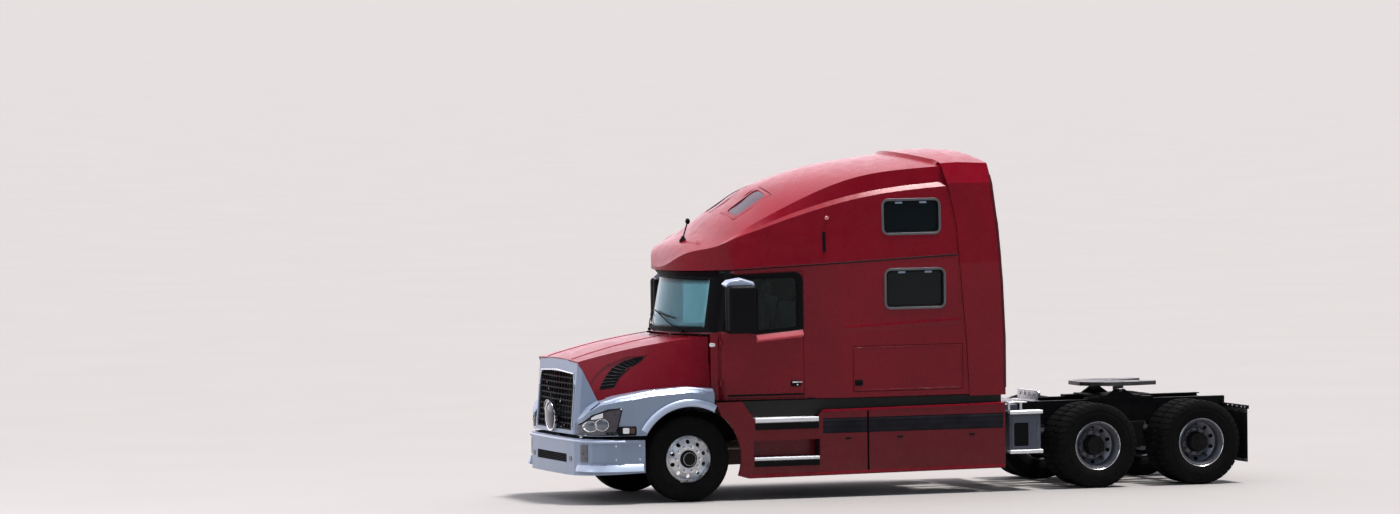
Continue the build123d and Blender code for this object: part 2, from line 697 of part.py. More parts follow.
def shoulder_wedge(inset):
    # what the sloping shoulder takes off the block's top outer edge
    sections = []
    for x, reach in SHOULDERS:
        y = straight(CORNER_PLAN, x)
        before = straight(CORNER_PLAN, x - 30)
        after = straight(CORNER_PLAN, x + 30)
        out = Vector(before - after, 60, 0).normalized()
        base = Vector(x - inset * (1 if y < 1200 else 0), y - inset * (1 if x < 1150 else 0.3), 0)
        z = straight(EYEBROW, base.X) - inset
        wide = base + out * WEDGE_OVER
        deep = base - out * (reach + WEDGE_OVER)
        sections.append(make_face(Polyline(
            (wide.X, wide.Y, z - reach - WEDGE_OVER), (wide.X, wide.Y, z + WEDGE_OVER),
            (deep.X, deep.Y, z + WEDGE_OVER), close=True).edges()))
    return loft(sections, ruled=True)


def corner_block(inset):
    plan = [(x - inset * (1 if y < 1200 else 0), y - inset * (1 if x < 1150 else 0.3)) for x, y in CORNER_PLAN]
    plan[-1] = (CORNER_PLAN[-1][0] + inset, CORNER_PLAN[-1][1] - inset)
    plan = plan + [(plan[-1][0], 640)]
    top = [(x, z - inset) for x, z in EYEBROW]
    low = FENDER_LOW - (40 if inset > 0 else 0)
    side = prism_y(top + [(-305, low), (1275, low)], 500, 1300)
    return (prism_z(plan, 600, 1500) & side) - shoulder_wedge(inset)


def lens_block():
    return (corner_block(0) - corner_block(80)) & prism_y(LENS, 700, 1300)


def fenders():
    shell = corner_block(0) - corner_block(22)
    arch = rod_y(ARCH_R, 0, HUB_Z, 500, 1300)
    liner = (rod_y(ARCH_R + 12, 0, HUB_Z, 620, 1195) - arch) & box(-300, 620, 600, 1200, 800, 1200)
    flare = (rod_y(ARCH_R + 78, 0, HUB_Z, 1185, 1222) - arch) & box(-303, 640, 1100, 1300, FENDER_LOW, 1400)
    shell = shell - box(-400, 1400, 0, 800, 0, 2000)
    return shell - arch + liner + flare


def centre_lamp():
    shell = Pos(1170, 0, 990) * Rot(0, 90, 0) * Cone(95, 172, 230)
    rim = rod_x(180, 0, 990, 1280, 1300)
    return shell + rim


# Bumper in three parts, with a return flange at the top and a lip at the foot of each corner

BUMPER_PLAN = ((1300, 0), (1296, 500), (1282, 780), (1235, 930), (1150, 1060), (1020, 1150), (850, 1198),
               (555, 1215))
BUMPER_TOP = 762


def bumper_block(inset, low, high):
    half = [(x - inset if x > 600 else x, max(y - inset, 0)) for x, y in BUMPER_PLAN]
    return prism_z(half + [(x, -y) for x, y in reversed(half[1:])], low, high)


def bumper():
    side = prism_y(((500, 742), (600, 742), (1240, BUMPER_TOP), (1400, BUMPER_TOP), (1400, 318), (1240, 335),
                    (500, 362)), -1300, 1300)
    skin = bumper_block(0, 300, 800) - bumper_block(PANEL, 200, 900)
    shelf = bumper_block(5, BUMPER_TOP - 35, BUMPER_TOP - 20) - box(0, 1160, -1120, 1120, 600, 900)
    lip = (bumper_block(-14, 372, 470) - bumper_block(PANEL, 300, 800)) - box(1100, 1500, -860, 860, 200, 900)
    lip = lip - box(0, 575, -1300, 1300, 200, 900)
    bead = (bumper_block(-12, BUMPER_TOP - 62, BUMPER_TOP - 24) - bumper_block(PANEL, 300, 800))
    bead = (bead - box(1140, 1500, -900, 900, 200, 900)) - box(0, 575, -1300, 1300, 200, 900)
    groove = both(box(1100, 1400, 838, 850, 300, 900)) & (bumper_block(1, 300, 800) - bumper_block(8, 300, 800))
    slot = box(1200, 1400, -540, 540, 472, 570)
    stays = both(box(985, 1285, 385, 415, 430, 730))
    shell = ((skin + shelf) & side) + (lip & side) + (bead & side)
    return shell - slot - groove + (stays & bumper_block(PANEL - 4, 0, 900))


# Sides

FAIRING_OUTLINE = ((-318, 1150), (-640, 1150), (-795, 930), (-1566, 930), (-1630, 1018), (-3920, 1045),
                   (-3920, 286), (-700, 258), (-560, 300), (-500, 700))


def side_fairing():
    panel = prism_y(FAIRING_OUTLINE, 1185, 1220) - rod_y(ARCH_R + 12, 0, HUB_Z, 1100, 1300)
    panel = panel - box(-3895, -1640, 1212, 1300, 750, 930) - box(-2212, -2188, 1200, 1300, 200, 1100)
    step_low = box(-1600, -780, 1000, 1300, 470, 690)
    tray = box(-1620, -760, 1000, 1190, 450, 710) - step_low
    ledge = box(-1600, -700, 1000, 1190, 905, 930)
    rocker = box(-3900, -330, 1128, 1140, 960, 1150) + box(-3900, -1650, 1128, 1190, 990, 1002)
    rocker = rocker + box(-790, -330, 1128, 1190, 990, 1002)
    stays = box(-700, -660, FRAME_HALF, 1190, 900, 960) - box(-800, -600, FRAME_HALF + 25, 1000, 880, 925)
    for x in (-1750, -3860):
        stays = stays + box(x - 20, x + 20, FRAME_HALF, 1190, 960, 1000)
    return panel - step_low + tray + ledge + stays + (rocker - rod_y(ARCH_R + 12, 0, HUB_Z, 1100, 1300))


def treads():
    upper = box(-1560, -800, 1010, 1222, 930, 950)
    lower = box(-1590, -790, 1020, 1222, 470, 490)
    return both(upper + lower)


def mirror_left():
    head = fillet(box(-770, -425, 1235, 1440, 1955, 2510).edges(), 45)
    upper = box(-640, -560, 1060, 1240, 2440, 2465)
    lower = box(-640, -560, 1060, 1240, 2000, 2025)
    return head + upper + lower


def radiator():
    return box(830, 940, -440, 440, 1005, 1480) + box(830, 940, -330, 330, 760, 1005)


def engine_block():
    return box(-400, 760, -300, 300, 640, 1500)


def running_gear():
    pieces = {}
    pieces["chassis_frame"] = chassis_frame()
    pieces["front_axle"] = front_axle()
    pieces["suspension"] = suspension()
    pieces["drive_axles"] = drive_axles()
    line, between, exhaust = driveline()
    pieces["driveline"] = line + between
    pieces["exhaust"] = exhaust
    fuel, air = tanks()
    pieces["fuel_tanks"] = fuel
    pieces["air_tanks"] = air
    deck, steps = deck_steps()
    pieces["deck_steps"] = deck + steps
    pieces["fifth_wheel_base"] = fifth_wheel_base()
    pieces["fifth_wheel_plate"] = fifth_wheel_plate()
    pieces["mudflaps"] = mudflaps()
    pieces["tail_lamps"] = tail_lamps()
    pieces["engine_block"] = engine_block()
    pieces["radiator"] = radiator()
    for side, name in ((1, "left"), (-1, "right")):
        pieces["knuckle_" + name] = knuckle(side)
        pieces["rim_front_" + name] = front_rim(side)
        pieces["tyre_front_" + name] = tyre(0, side * FRONT_TYRE_Y)
        for number, x in enumerate(DRIVE_X):
            label = "drive_%d_%s" % (number + 1, name)
            pieces["rims_" + label] = drive_rim(x, side)
            pieces["tyres_" + label] = tyre(x, side * DUAL_Y[0]) + tyre(x, side * DUAL_Y[1])
    return pieces


def cab_interior():
    pieces = {}
    body, top, steering = dashboard()
    pieces["dashboard"] = body + top
    pieces["steering_wheel"] = steering
    pieces["seats"] = seats()
    lower, upper = bunks()
    pieces["bunks"] = lower + upper
    return pieces


def nose_and_sides():
    pieces = {}
    lamp = centre_lamp()
    surround = grille_surround() - lamp
    skin = hood_body(-2)
    nose_room = nose_block(-1) & box(930, 1400, -1300, 1300, 700, 1700)
    lens = lens_block() - nose_room
    pieces["grille_surround"] = surround
    pieces["hood"] = largest(hood() - surround)
    pieces["centre_lamp"] = lamp
    pieces["grille"] = largest(grille() - surround - lamp)
    pieces["headlamps"] = both(largest(lens))
    pieces["fenders"] = both(largest(fenders() - nose_room - skin - lens))
    pieces["bumper"] = bumper()
    fairing = side_fairing()
    pieces["side_fairing_left"] = largest(fairing)
    pieces["side_fairing_right"] = other_side(largest(fairing))
    pieces["step_treads"] = treads()
    pieces["mirror_left"] = mirror_left()
    pieces["mirror_right"] = other_side(mirror_left())
    return pieces


def main():
    os.makedirs("parts", exist_ok=True)
    pieces = running_gear()
    pieces.update(build_cab())
    pieces.update(cab_interior())
    pieces.update(nose_and_sides())
    for name, piece in pieces.items():
        export_step(Pos(SHIFT_X, 0, 0) * piece, "parts/%s.step" % name)


main()
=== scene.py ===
import math

import bmesh
import bpy
from mathutils import Matrix, Vector
from mathutils.bvhtree import BVHTree


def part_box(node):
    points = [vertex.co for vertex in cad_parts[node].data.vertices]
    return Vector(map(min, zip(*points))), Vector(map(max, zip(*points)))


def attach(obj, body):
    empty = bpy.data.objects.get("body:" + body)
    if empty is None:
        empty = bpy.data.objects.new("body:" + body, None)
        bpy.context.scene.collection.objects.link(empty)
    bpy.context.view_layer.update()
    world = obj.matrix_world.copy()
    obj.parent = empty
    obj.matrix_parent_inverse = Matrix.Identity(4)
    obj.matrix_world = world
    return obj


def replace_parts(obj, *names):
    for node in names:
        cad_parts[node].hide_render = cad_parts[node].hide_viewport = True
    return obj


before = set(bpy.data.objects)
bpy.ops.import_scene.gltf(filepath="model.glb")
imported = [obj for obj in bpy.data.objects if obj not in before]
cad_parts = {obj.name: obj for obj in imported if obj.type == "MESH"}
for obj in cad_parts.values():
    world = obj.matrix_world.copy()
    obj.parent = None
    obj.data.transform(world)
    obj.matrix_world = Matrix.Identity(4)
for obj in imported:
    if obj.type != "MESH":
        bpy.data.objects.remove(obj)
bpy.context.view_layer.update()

# Stations are in metres from the front axle, and SHIFT takes them to the shared frame
SHIFT = 2.9
HUB = 0.5
DRIVE_X = (-5.1, -6.42)
DUAL_Y = (0.743, 1.086)
FRONT_TYRE_Y = 1.035
FIFTH_X = -5.70
REAR_X = -7.1
SIDES = (("left", 1), ("right", -1))
STEMS = ("door", "luggage_door", "knuckle", "wheel_front", "wheel_drive_1", "wheel_drive_2")
AXES = {"x": (1, 0, 0), "y": (0, 1, 0), "z": (0, 0, 1)}
ORDER = {"x": lambda a, b, t: (t, a, b), "y": lambda a, b, t: (a, t, b), "z": lambda a, b, t: (a, b, t)}
DOWN = (0, 0, -1)


# Shapes

def spaced(first, last, count):
    """Evenly spaced values from the first to the last."""
    return [first + (last - first) * i / (count - 1) for i in range(count)]


def stepped(first, step, count):
    """Values that start at the first and go up by the step."""
    return [first + step * i for i in range(count)]


def circle(count, start=0.0):
    """Angles round a circle, shifted by a part of one step."""
    return [2 * math.pi * (k + start) / count for k in range(count)]


def rounded(x0, x1, z0, z1, r, steps=6):
    """Corner-rounded rectangle as points of a closed outline."""
    out = []
    for cx, cz, start in ((x1 - r, z1 - r, 0), (x0 + r, z1 - r, 90), (x0 + r, z0 + r, 180),
                          (x1 - r, z0 + r, 270)):
        for a in spaced(math.radians(start), math.radians(start + 90), steps + 1):
            out.append((cx + r * math.cos(a), cz + r * math.sin(a)))
    return out


class Piece:
    """Collects geometry in station coordinates, and becomes one object or a mirrored pair."""

    def __init__(self):
        self.bm = bmesh.new()

    def vert(self, x, y, z):
        return self.bm.verts.new((x, y, z))

    def solid(self, rings, looped=False, open_rings=False):
        # rings are lists of points with the same count, joined one to the next
        rows = [[self.vert(*p) for p in ring] for ring in rings]
        count = len(rows[0])
        for a, b in zip(rows, rows[1:] + rows[:1] if looped else rows[1:]):
            for i in range(count - 1 if open_rings else count):
                j = (i + 1) % count
                self.bm.faces.new((a[i], a[j], b[j], b[i]))
        if not looped:
            self.bm.faces.new(rows[0][::-1])
            self.bm.faces.new(rows[-1])
        return self

    def strip(self, rows):
        # only the rows whose every point was found on the skin
        return self.solid([row for row in rows if None not in row])

    def swept(self, xs, section):
        # section gives its (y, z) points at a station x
        return self.solid([[(x, y, z) for y, z in section(x)] for x in xs])

    def prism(self, points, axis, low, high):
        return self.solid([[ORDER[axis](a, b, t) for a, b in points] for t in (low, high)])

    def box(self, x0, x1, y0, y1, z0, z1):
        return self.prism(((x0, y0), (x1, y0), (x1, y1), (x0, y1)), "z", z0, z1)

    def bars(self, xs, ys, wide, deep, low, high):
        for x in xs:
            for y in ys:
                self.box(x, x + wide, y, y + deep, low, high)
        return self

    def plate(self, corners, axis, low, high):
        return self.prism(rounded(*corners), axis, low, high)

    def ring(self, outline, inner, place, low, high):
        # a flat ring between two outlines of the same count
        place = ORDER.get(place, place)
        lines = ((outline, low), (outline, high), (inner, high), (inner, low))
        return self.solid([[place(a, b, t) for a, b in line] for line, t in lines], looped=True)

    def tube(self, points, radius, sides=10):
        points = [Vector(p) for p in points]
        rings = []
        side = None
        for i, p in enumerate(points):
            way = (points[min(i + 1, len(points) - 1)] - points[max(i - 1, 0)]).normalized()
            side = side or way.orthogonal().normalized()
            side = (side - way * side.dot(way)).normalized()
            up = way.cross(side)
            rings.append([p + (side * math.cos(a) + up * math.sin(a)) * radius for a in circle(sides)])
        return self.solid(rings)

    def turned(self, centre, axis, profile, sides=48, closed=True):
        # profile is (offset along the axis, radius), turned about the axis
        way = Vector(AXES.get(axis, axis)).normalized()
        side = way.orthogonal().normalized()
        up = way.cross(side)
        rings = []
        for a in circle(sides):
            out = side * math.cos(a) + up * math.sin(a)
            rings.append([Vector(centre) + way * o + out * r for o, r in profile])
        return self.solid(rings, looped=True, open_rings=not closed)

    def spun(self, centre, axis, profile, sides):
        return self.turned(centre, axis, profile, sides, closed=False)

    def ball(self, centre, radius, scale=(1, 1, 1), segments=16):
        matrix = Matrix.Translation(centre) @ Matrix.Diagonal((*scale, 1)) @ Matrix.Scale(radius, 4)
        bmesh.ops.create_uvsphere(self.bm, u_segments=segments, v_segments=segments // 2, radius=1,
                                  matrix=matrix)
        return self

    def bolts(self, places, axis, radius, height, washer=1.5):
        way = Vector(AXES.get(axis, axis)).normalized()
        for place in places:
            base = Vector(place)
            self.tube((base, base + way * height * 0.25), radius * washer, 14)
            self.tube((base, base + way * height), radius, 6)
        return self

    def grid(self, rows, thick):
        # a sheet through rows of points, closed to a solid by an offset vector
        front = [[self.vert(*p) for p in row] for row in rows]
        back = [[self.vert(*(Vector(p) + Vector(thick))) for p in row] for row in rows]
        for sheet, turn_over in ((front, 1), (back, -1)):
            for a, b in zip(sheet, sheet[1:]):
                for i in range(len(a) - 1):
                    self.bm.faces.new((a[i], a[i + 1], b[i + 1], b[i])[::turn_over])
        edge, rear = ([*s[0], *(r[-1] for r in s[1:-1]), *s[-1][::-1], *(r[0] for r in s[-2:0:-1])]
                      for s in (front, back))
        for i in range(len(edge)):
            j = (i + 1) % len(edge)
            self.bm.faces.new((edge[j], edge[i], rear[i], rear[j]))
        return self

    def done(self, name, mat, body="chassis", slot=None, bevel=0.0, smooth=35.0, mirrored=False, replaces=(),
             segments=2):
        bm = self.bm.copy()
        if mirrored:
            bmesh.ops.scale(bm, vec=(1, -1, 1), verts=bm.verts)
        bmesh.ops.translate(bm, vec=(SHIFT, 0, 0), verts=bm.verts)
        bmesh.ops.recalc_face_normals(bm, faces=bm.faces)
        mesh = bpy.data.meshes.new(name)
        bm.to_mesh(mesh)
        bm.free()
        obj = bpy.data.objects.new(name, mesh)
        bpy.context.scene.collection.objects.link(obj)
        if bevel:
            mod = obj.modifiers.new("bevel", "BEVEL")
            mod.width = bevel
            mod.segments = segments
            mod.limit_method = "ANGLE"
            mod.angle_limit = math.radians(40)
            mod.harden_normals = False
        mesh.shade_smooth()
        mesh.set_sharp_from_angle(angle=math.radians(60 if bevel else smooth))
        mesh.materials.append(mat)
        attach(obj, body)
        if replaces:
            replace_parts(obj, *replaces)
        return obj

    def pair(self, name, mat, bodies="chassis", slot=None, replaces=(), **kw):
        # the same piece left and, mirrored, right; bodies is one name or a stem with _left and _right
        made = []
        for label, sign in SIDES:
            body = bodies + "_" + label if bodies.endswith(STEMS) else bodies
            nodes = [node + "_" + label for node in replaces]
            made.append(self.done(name + "_" + label, mat, body, slot, mirrored=sign < 0, replaces=nodes,
                                  **kw))
        return made


# Materials

class Mat:
    """A small wrapper for building a procedural material."""

    def __init__(self, name):
        self.mat = bpy.data.materials.new(name)
        self.mat.use_nodes = True
        self.tree = self.mat.node_tree
        self.bsdf = self.tree.nodes["Principled BSDF"]
        self.where = self.node("ShaderNodeTexCoord").outputs["Object"]

    def node(self, kind, **values):
        node = self.tree.nodes.new(kind)
        for key, value in values.items():
            if hasattr(node, key):
                setattr(node, key, value)
            else:
                node.inputs[key.replace("_", " ")].default_value = value
        return node

    def link(self, out, into):
        self.tree.links.new(out, self.bsdf.inputs[into] if isinstance(into, str) else into)

    def noise(self, scale, detail=5.0, stretch=None):
        node = self.node("ShaderNodeTexNoise", Scale=scale, Detail=detail, Roughness=0.6)
        where = self.where
        if stretch:
            mapping = self.node("ShaderNodeMapping")
            mapping.inputs["Scale"].default_value = stretch
            self.link(where, mapping.inputs["Vector"])
            where = mapping.outputs["Vector"]
        self.link(where, node.inputs["Vector"])
        return node.outputs["Fac"]

    def remap(self, value, a, b, c, d):
        node = self.node("ShaderNodeMapRange", clamp=True)
        for key, number in (("From Min", a), ("From Max", b), ("To Min", c), ("To Max", d)):
            node.inputs[key].default_value = number
        self.link(value, node.inputs["Value"])
        return node.outputs["Result"]

    def drift(self, scale, low=0.0, high=1.0, **kw):
        return self.remap(self.noise(scale, **kw), 0.3, 0.7, low, high)

    def math(self, how, a, b):
        node = self.node("ShaderNodeMath", operation=how)
        for socket, value in zip(node.inputs, (a, b)):
            if isinstance(value, (int, float)):
                socket.default_value = value
            else:
                self.link(value, socket)
        return node.outputs[0]

    def mix(self, factor, a, b):
        node = self.node("ShaderNodeMix", data_type="RGBA")
        self.link(factor, node.inputs["Factor"])
        for socket, value in ((node.inputs[6], a), (node.inputs[7], b)):
            if isinstance(value, tuple):
                socket.default_value = (*value, 1)
            else:
                self.link(value, socket)
        return node.outputs[2]

    def axis(self, name):
        node = self.node("ShaderNodeSeparateXYZ")
        self.link(self.where, node.inputs[0])
        return node.outputs[name]

    def bump(self, height, strength, distance, below=None):
        node = self.node("ShaderNodeBump", Strength=strength, Distance=distance)
        self.link(height, node.inputs["Height"])
        if below is not None:
            self.link(below, node.inputs["Normal"])
        return node.outputs["Normal"]

    def set(self, **values):
        for key, value in values.items():
            self.bsdf.inputs[key.replace("_", " ")].default_value = value


DUST = (0.40, 0.33, 0.26)
RED = (0.24, 0.0016, 0.014)
LINING = (0.012, 0.011, 0.011)


def toned(color, factor):
    return tuple(c * factor for c in color)


def surface(name, color, rough=0.5, metal=0.0, coat=0.0, vary=0.12, scale=5.0, grain=0.25, fine=350.0,
            depth=0.0004, dust=0.25, dust_top=1.3, brushed=None, second=None, rough_vary=0.08, gloss=0.5):
    """Painted, moulded or bare metal surface with colour drift, road dust and grain."""
    m = Mat(name)
    tone = m.mix(m.drift(scale), toned(color, 1 - vary), toned(second or color, 1 + vary))
    if dust:
        height = m.remap(m.axis("Z"), 0.15, dust_top, dust, dust * 0.08)
        patch = m.math("MULTIPLY", height, m.remap(m.noise(9, detail=8), 0.35, 0.7, 0.35, 1.3))
        tone = m.mix(patch, tone, DUST)
    m.link(tone, "Base Color")
    m.link(m.drift(scale * 3.1, max(0.02, rough - rough_vary), min(1.0, rough + rough_vary)), "Roughness")
    m.link(m.bump(m.noise(fine, detail=2, stretch=brushed), grain, depth), "Normal")
    m.set(Metallic=metal, Specular_IOR_Level=gloss)
    if coat:
        m.set(Coat_Weight=coat, Coat_Roughness=0.06)
    return m.mat


def glass(name, tint, rough=0.03):
    """Tinted safety glass with faint smears."""
    m = Mat(name)
    m.link(m.mix(m.drift(3), toned(tint, 0.85), toned(tint, 1.1)), "Base Color")
    m.link(m.remap(m.noise(11, detail=6), 0.45, 0.8, rough * 0.3, rough), "Roughness")
    m.set(Transmission_Weight=1.0, IOR=1.3)
    return m.mat


def cab_glass():
    """A clear teal windscreen with a dark band along its foot and a painted shadow of the roof's visor along
    its top, and privacy glass in the panes behind it.
    """
    m = Mat("cab_glass")
    screen = m.mix(m.drift(3), (0.27, 0.52, 0.58), (0.30, 0.58, 0.66))
    # Painted shadow: the top of the screen darkens where the roof's visor shades it.
    visor_shadow_band = m.remap(m.axis("Z"), 2.50, 2.56, 0.0, 1.0)
    band_below = m.remap(m.axis("Z"), 2.01, 2.03, 1.0, 0.0)
    screen = m.mix(m.math("MAXIMUM", visor_shadow_band, band_below), screen, (0.01, 0.02, 0.02))
    ahead = m.math("GREATER_THAN", m.axis("X"), SHIFT - 0.66)
    below = m.math("LESS_THAN", m.axis("Z"), 2.72)
    m.link(m.mix(m.math("MULTIPLY", ahead, below), (0.03, 0.04, 0.045), screen), "Base Color")
    m.link(m.remap(m.noise(11, detail=6), 0.45, 0.8, 0.01, 0.035), "Roughness")
    m.set(Transmission_Weight=0.65, IOR=1.3)
    return m.mat


def trimmed_paint(name, reach=None, inner=None, tint=1.0):
    """Body paint, darker low down as painted shade, with lining inside of the wall's middle where a reach is
    given.

    reach is (x, y) of the wall's middle along the cab. Behind and ahead of the two x of inner all is paint.
    """
    m = Mat(name)
    tone = m.mix(m.drift(2.2), toned(RED, 0.9 * tint), toned(RED, 1.08 * tint))
    # Painted shade: the paint grows darker towards the bottom, as the lower side lies in shade.
    tone = m.mix(m.remap(m.axis("Z"), 0.4, 3.2, 0.35, 0.0), tone, toned(RED, 0.3))
    low = m.remap(m.axis("Z"), 0.2, 1.2, 0.035, 0.0)
    tone = m.mix(m.math("MULTIPLY", low, m.drift(8, 0.2, 1.3, detail=8)), tone, DUST)
    streak = m.remap(m.noise(5, stretch=(14, 14, 0.7)), 0.58, 0.8, 0.0, 0.03)
    tone = m.mix(streak, tone, (0.24, 0.12, 0.11))
    gloss = m.drift(7, 0.2, 0.36)
    if reach:
        (first, _), (last, _) = reach[0], reach[-1]
        limit = m.node("ShaderNodeFloatCurve")
        curve = limit.mapping.curves[0]
        m.link(m.remap(m.axis("X"), SHIFT + first, SHIFT + last, 0.0, 1.0), limit.inputs["Value"])
        points = [((x - first) / (last - first), y) for x, y in reach]
        curve.points[0].location = points[0]
        curve.points[1].location = points[-1]
        for x, y in points[1:-1]:
            curve.points.new(x, y)
        for point in curve.points:
            point.handle_type = "VECTOR"
        limit.mapping.use_clip = False
        limit.mapping.update()
        skin = m.math("GREATER_THAN", m.math("ABSOLUTE", m.axis("Y"), 0), limit.outputs["Value"])
        if inner:
            back = m.math("LESS_THAN", m.axis("X"), SHIFT + inner[0])
            front = m.math("GREATER_THAN", m.axis("X"), SHIFT + inner[1])
            skin = m.math("MAXIMUM", skin, m.math("MAXIMUM", back, front))
        tone = m.mix(skin, LINING, tone)
        matt = m.math("MULTIPLY", m.math("SUBTRACT", 1.0, skin), 0.62)
        gloss = m.math("ADD", m.math("MULTIPLY", gloss, skin), matt)
    m.link(tone, "Base Color")
    m.link(gloss, "Roughness")
    normal = m.bump(m.noise(90, detail=2), 0.02, 0.0004)
    m.link(m.bump(m.noise(3, detail=1), 0.03, 0.002, below=normal), "Normal")
    m.set(Coat_Weight=0.22, Coat_Roughness=0.08, Specular_IOR_Level=0.3)
    return m.mat


CAB_WALL = ((-4.0, 1.17), (-1.92, 1.17), (-1.46, 1.065), (-0.53, 1.0), (-0.45, 0.93), (1.4, 0.9))
FAIRING_WALL = ((-4.0, 1.183), (-2.0, 1.183), (1.4, 1.183))

paint = trimmed_paint("paint_body")
paint_cab = trimmed_paint("paint_cab", CAB_WALL, (-3.46, -0.44))
# Painted shade: the fairing's paint is toned a quarter darker, for the shade on its low panels.
paint_fairing = trimmed_paint("paint_fairing", FAIRING_WALL, tint=0.75)
# A lighter red for the door's belt ledge: a painted highlight where the ledge catches the light.
ledge_highlight_paint = surface("ledge_highlight_paint", (0.62, 0.10, 0.13), rough=0.4, coat=0.2, vary=0.03, scale=3)
silver = surface("silver_paint", (0.27, 0.33, 0.43), rough=0.36, metal=0.25, coat=0.4,
                 vary=0.03, scale=2, grain=0.01, fine=400, dust=0.02, dust_top=0.9, rough_vary=0.03)
# A lighter copy of the silver paint: a painted highlight on the parts that face the light.
silver_highlight = surface("silver_paint_highlight", (0.50, 0.57, 0.70), rough=0.34, metal=0.2,
                       coat=0.4, vary=0.03, scale=2, grain=0.01, dust=0.02, dust_top=0.9, rough_vary=0.03)
frame_grey = surface("window_frame", (0.16, 0.16, 0.17), rough=0.4, metal=0.5, vary=0.06,
                     grain=0.1, dust=0.05, dust_top=4)
chrome = surface("bright_chrome", (0.80, 0.81, 0.83), rough=0.1, metal=1.0, vary=0.03, grain=0.05,
                 dust=0.15, dust_top=1.2, rough_vary=0.05)
black = surface("black_plastic", (0.006, 0.006, 0.0075), grain=0.2, fine=500, dust=0.012,
                dust_top=2.6, gloss=0.12)
band_dark = surface("band_plastic", (0.018, 0.017, 0.024), vary=0.5, scale=3, grain=0.3,
                    fine=420, dust=0.02, gloss=0.12)
rubber = surface("black_rubber", (0.006, 0.006, 0.006), rough=0.75, grain=0.3, fine=600,
                 dust=0.012, dust_top=2.8, gloss=0.12)
tyre_mat = surface("tyre_rubber", (0.0055, 0.0055, 0.006), rough=0.85, vary=0.3, scale=12,
                   grain=0.5, fine=260, depth=0.0008, dust=0.014, gloss=0.12)
wheel_alu = surface("wheel_aluminium", (0.70, 0.71, 0.73), rough=0.3, metal=0.9, vary=0.06,
                    scale=9, grain=0.03, fine=400, dust=0.12, dust_top=1.0)
wheel_grey = surface("wheel_steel", (0.20, 0.205, 0.235), rough=0.38, metal=0.6, vary=0.15,
                     scale=10, grain=0.1, dust=0.06, dust_top=1.6)
hub_dark = surface("hub_paint", (0.008, 0.008, 0.009), vary=0.3, scale=30, grain=0.2, dust=0.05,
                   gloss=0.12)
alu = surface("bright_aluminium", (0.68, 0.69, 0.71), rough=0.28, metal=1.0, vary=0.06,
              scale=6, fine=160, brushed=(0.15, 1, 1), dust=0.18, dust_top=1.4)
alu_bright = surface("tread_aluminium", (0.86, 0.87, 0.88), rough=0.42, metal=0.6,
                     vary=0.04, scale=6, grain=0.2, fine=160, dust=0.04, dust_top=1.2)
cast = surface("cast_metal", (0.010, 0.010, 0.011), rough=0.65, metal=0.1, vary=0.4, scale=12,
               grain=0.6, fine=120, depth=0.0012, dust=0.05, gloss=0.12)
rail_paint = surface("chassis_paint", (0.008, 0.008, 0.009), rough=0.55, vary=0.3, scale=7,
                     grain=0.3, dust=0.03, dust_top=1.25, gloss=0.12)
greasy = surface("coupling_grease", (0.035, 0.033, 0.032), rough=0.38, metal=0.5, vary=0.5,
                 scale=4, grain=0.15, fine=60, depth=0.0008, dust=0.03, second=(0.09, 0.088, 0.085),
                 rough_vary=0.15)
steel_hot = surface("exhaust_steel", (0.30, 0.25, 0.21), rough=0.42, metal=0.9, vary=0.3,
                    scale=6, dust=0.3)
block_paint = surface("engine_paint", (0.06, 0.067, 0.075), metal=0.2, vary=0.2, grain=0.3,
                      dust=0.06, dust_top=2)
box_grey = surface("box_paint", (0.10, 0.115, 0.15), rough=0.45, metal=0.2, vary=0.15,
                   grain=0.2, dust=0.06)
cabin = surface("cabin_plastic", (0.085, 0.08, 0.075), rough=0.6, grain=0.5, fine=520,
                dust=0)
fabric = surface("seat_fabric", (0.085, 0.085, 0.095), rough=0.9, vary=0.25, scale=60,
                 grain=0.9, fine=900, depth=0.0012, dust=0)
lamp_red = surface("red_lens", (0.42, 0.006, 0.008), rough=0.15, coat=0.8, vary=0.1, scale=60,
                   grain=0.6, fine=210, depth=0.001, dust=0.1)
lamp_white = surface("white_lens", (0.78, 0.79, 0.80), rough=0.12, coat=0.9, vary=0.06,
                     scale=40, grain=0.6, fine=180, depth=0.001, dust=0.12)
lamp_grey = surface("lamp_housing", (0.16, 0.165, 0.18), rough=0.3, metal=0.5, vary=0.2,
                    scale=18, grain=0.2, dust=0.1)
lamp_smoke = surface("smoked_lens", (0.06, 0.022, 0.012), rough=0.2, coat=0.6, vary=0.2,
                     scale=40, grain=0.3, dust=0)
lens_grey = surface("grey_lens", (0.17, 0.185, 0.21), rough=0.15, metal=0.3, coat=0.8,
                    vary=0.1, scale=40, grain=0.4, fine=180, depth=0.001, dust=0.02)
lamp_dark = surface("lamp_side", (0.05, 0.04, 0.055), rough=0.2, coat=0.6, vary=0.3, scale=14,
                    grain=0.1, dust=0.02)
lens_dark = surface("round_lens", (0.010, 0.014, 0.026), rough=0.12, coat=0.8, vary=0.2,
                    scale=30, grain=0.2, dust=0)
lamp_rose = surface("rose_lens", (0.60, 0.22, 0.22), rough=0.2, coat=0.6, vary=0.1, scale=60,
                    grain=0.5, dust=0)
seam_red = surface("seam_sealed", (0.075, 0.003, 0.008), rough=0.55, vary=0.15, grain=0.2,
                   dust=0)
# A dark colour for the seam under the roof's edge: painted shadow of the overhanging roof moulding.
seam_shadow = surface("seam_shadow_paint", (0.03, 0.002, 0.005), rough=0.7, vary=0.2, grain=0.2,
                    dust=0)
skylight_tint = surface("skylight_tint", (0.055, 0.03, 0.05), rough=0.25, coat=0.1, vary=0.08,
                        scale=4, grain=0.04, fine=120, dust=0, rough_vary=0.04)
door_tint = glass("door_glass", (0.42, 0.62, 0.64))
clear_glass = glass("lamp_glass", (0.86, 0.90, 0.93), rough=0.02)

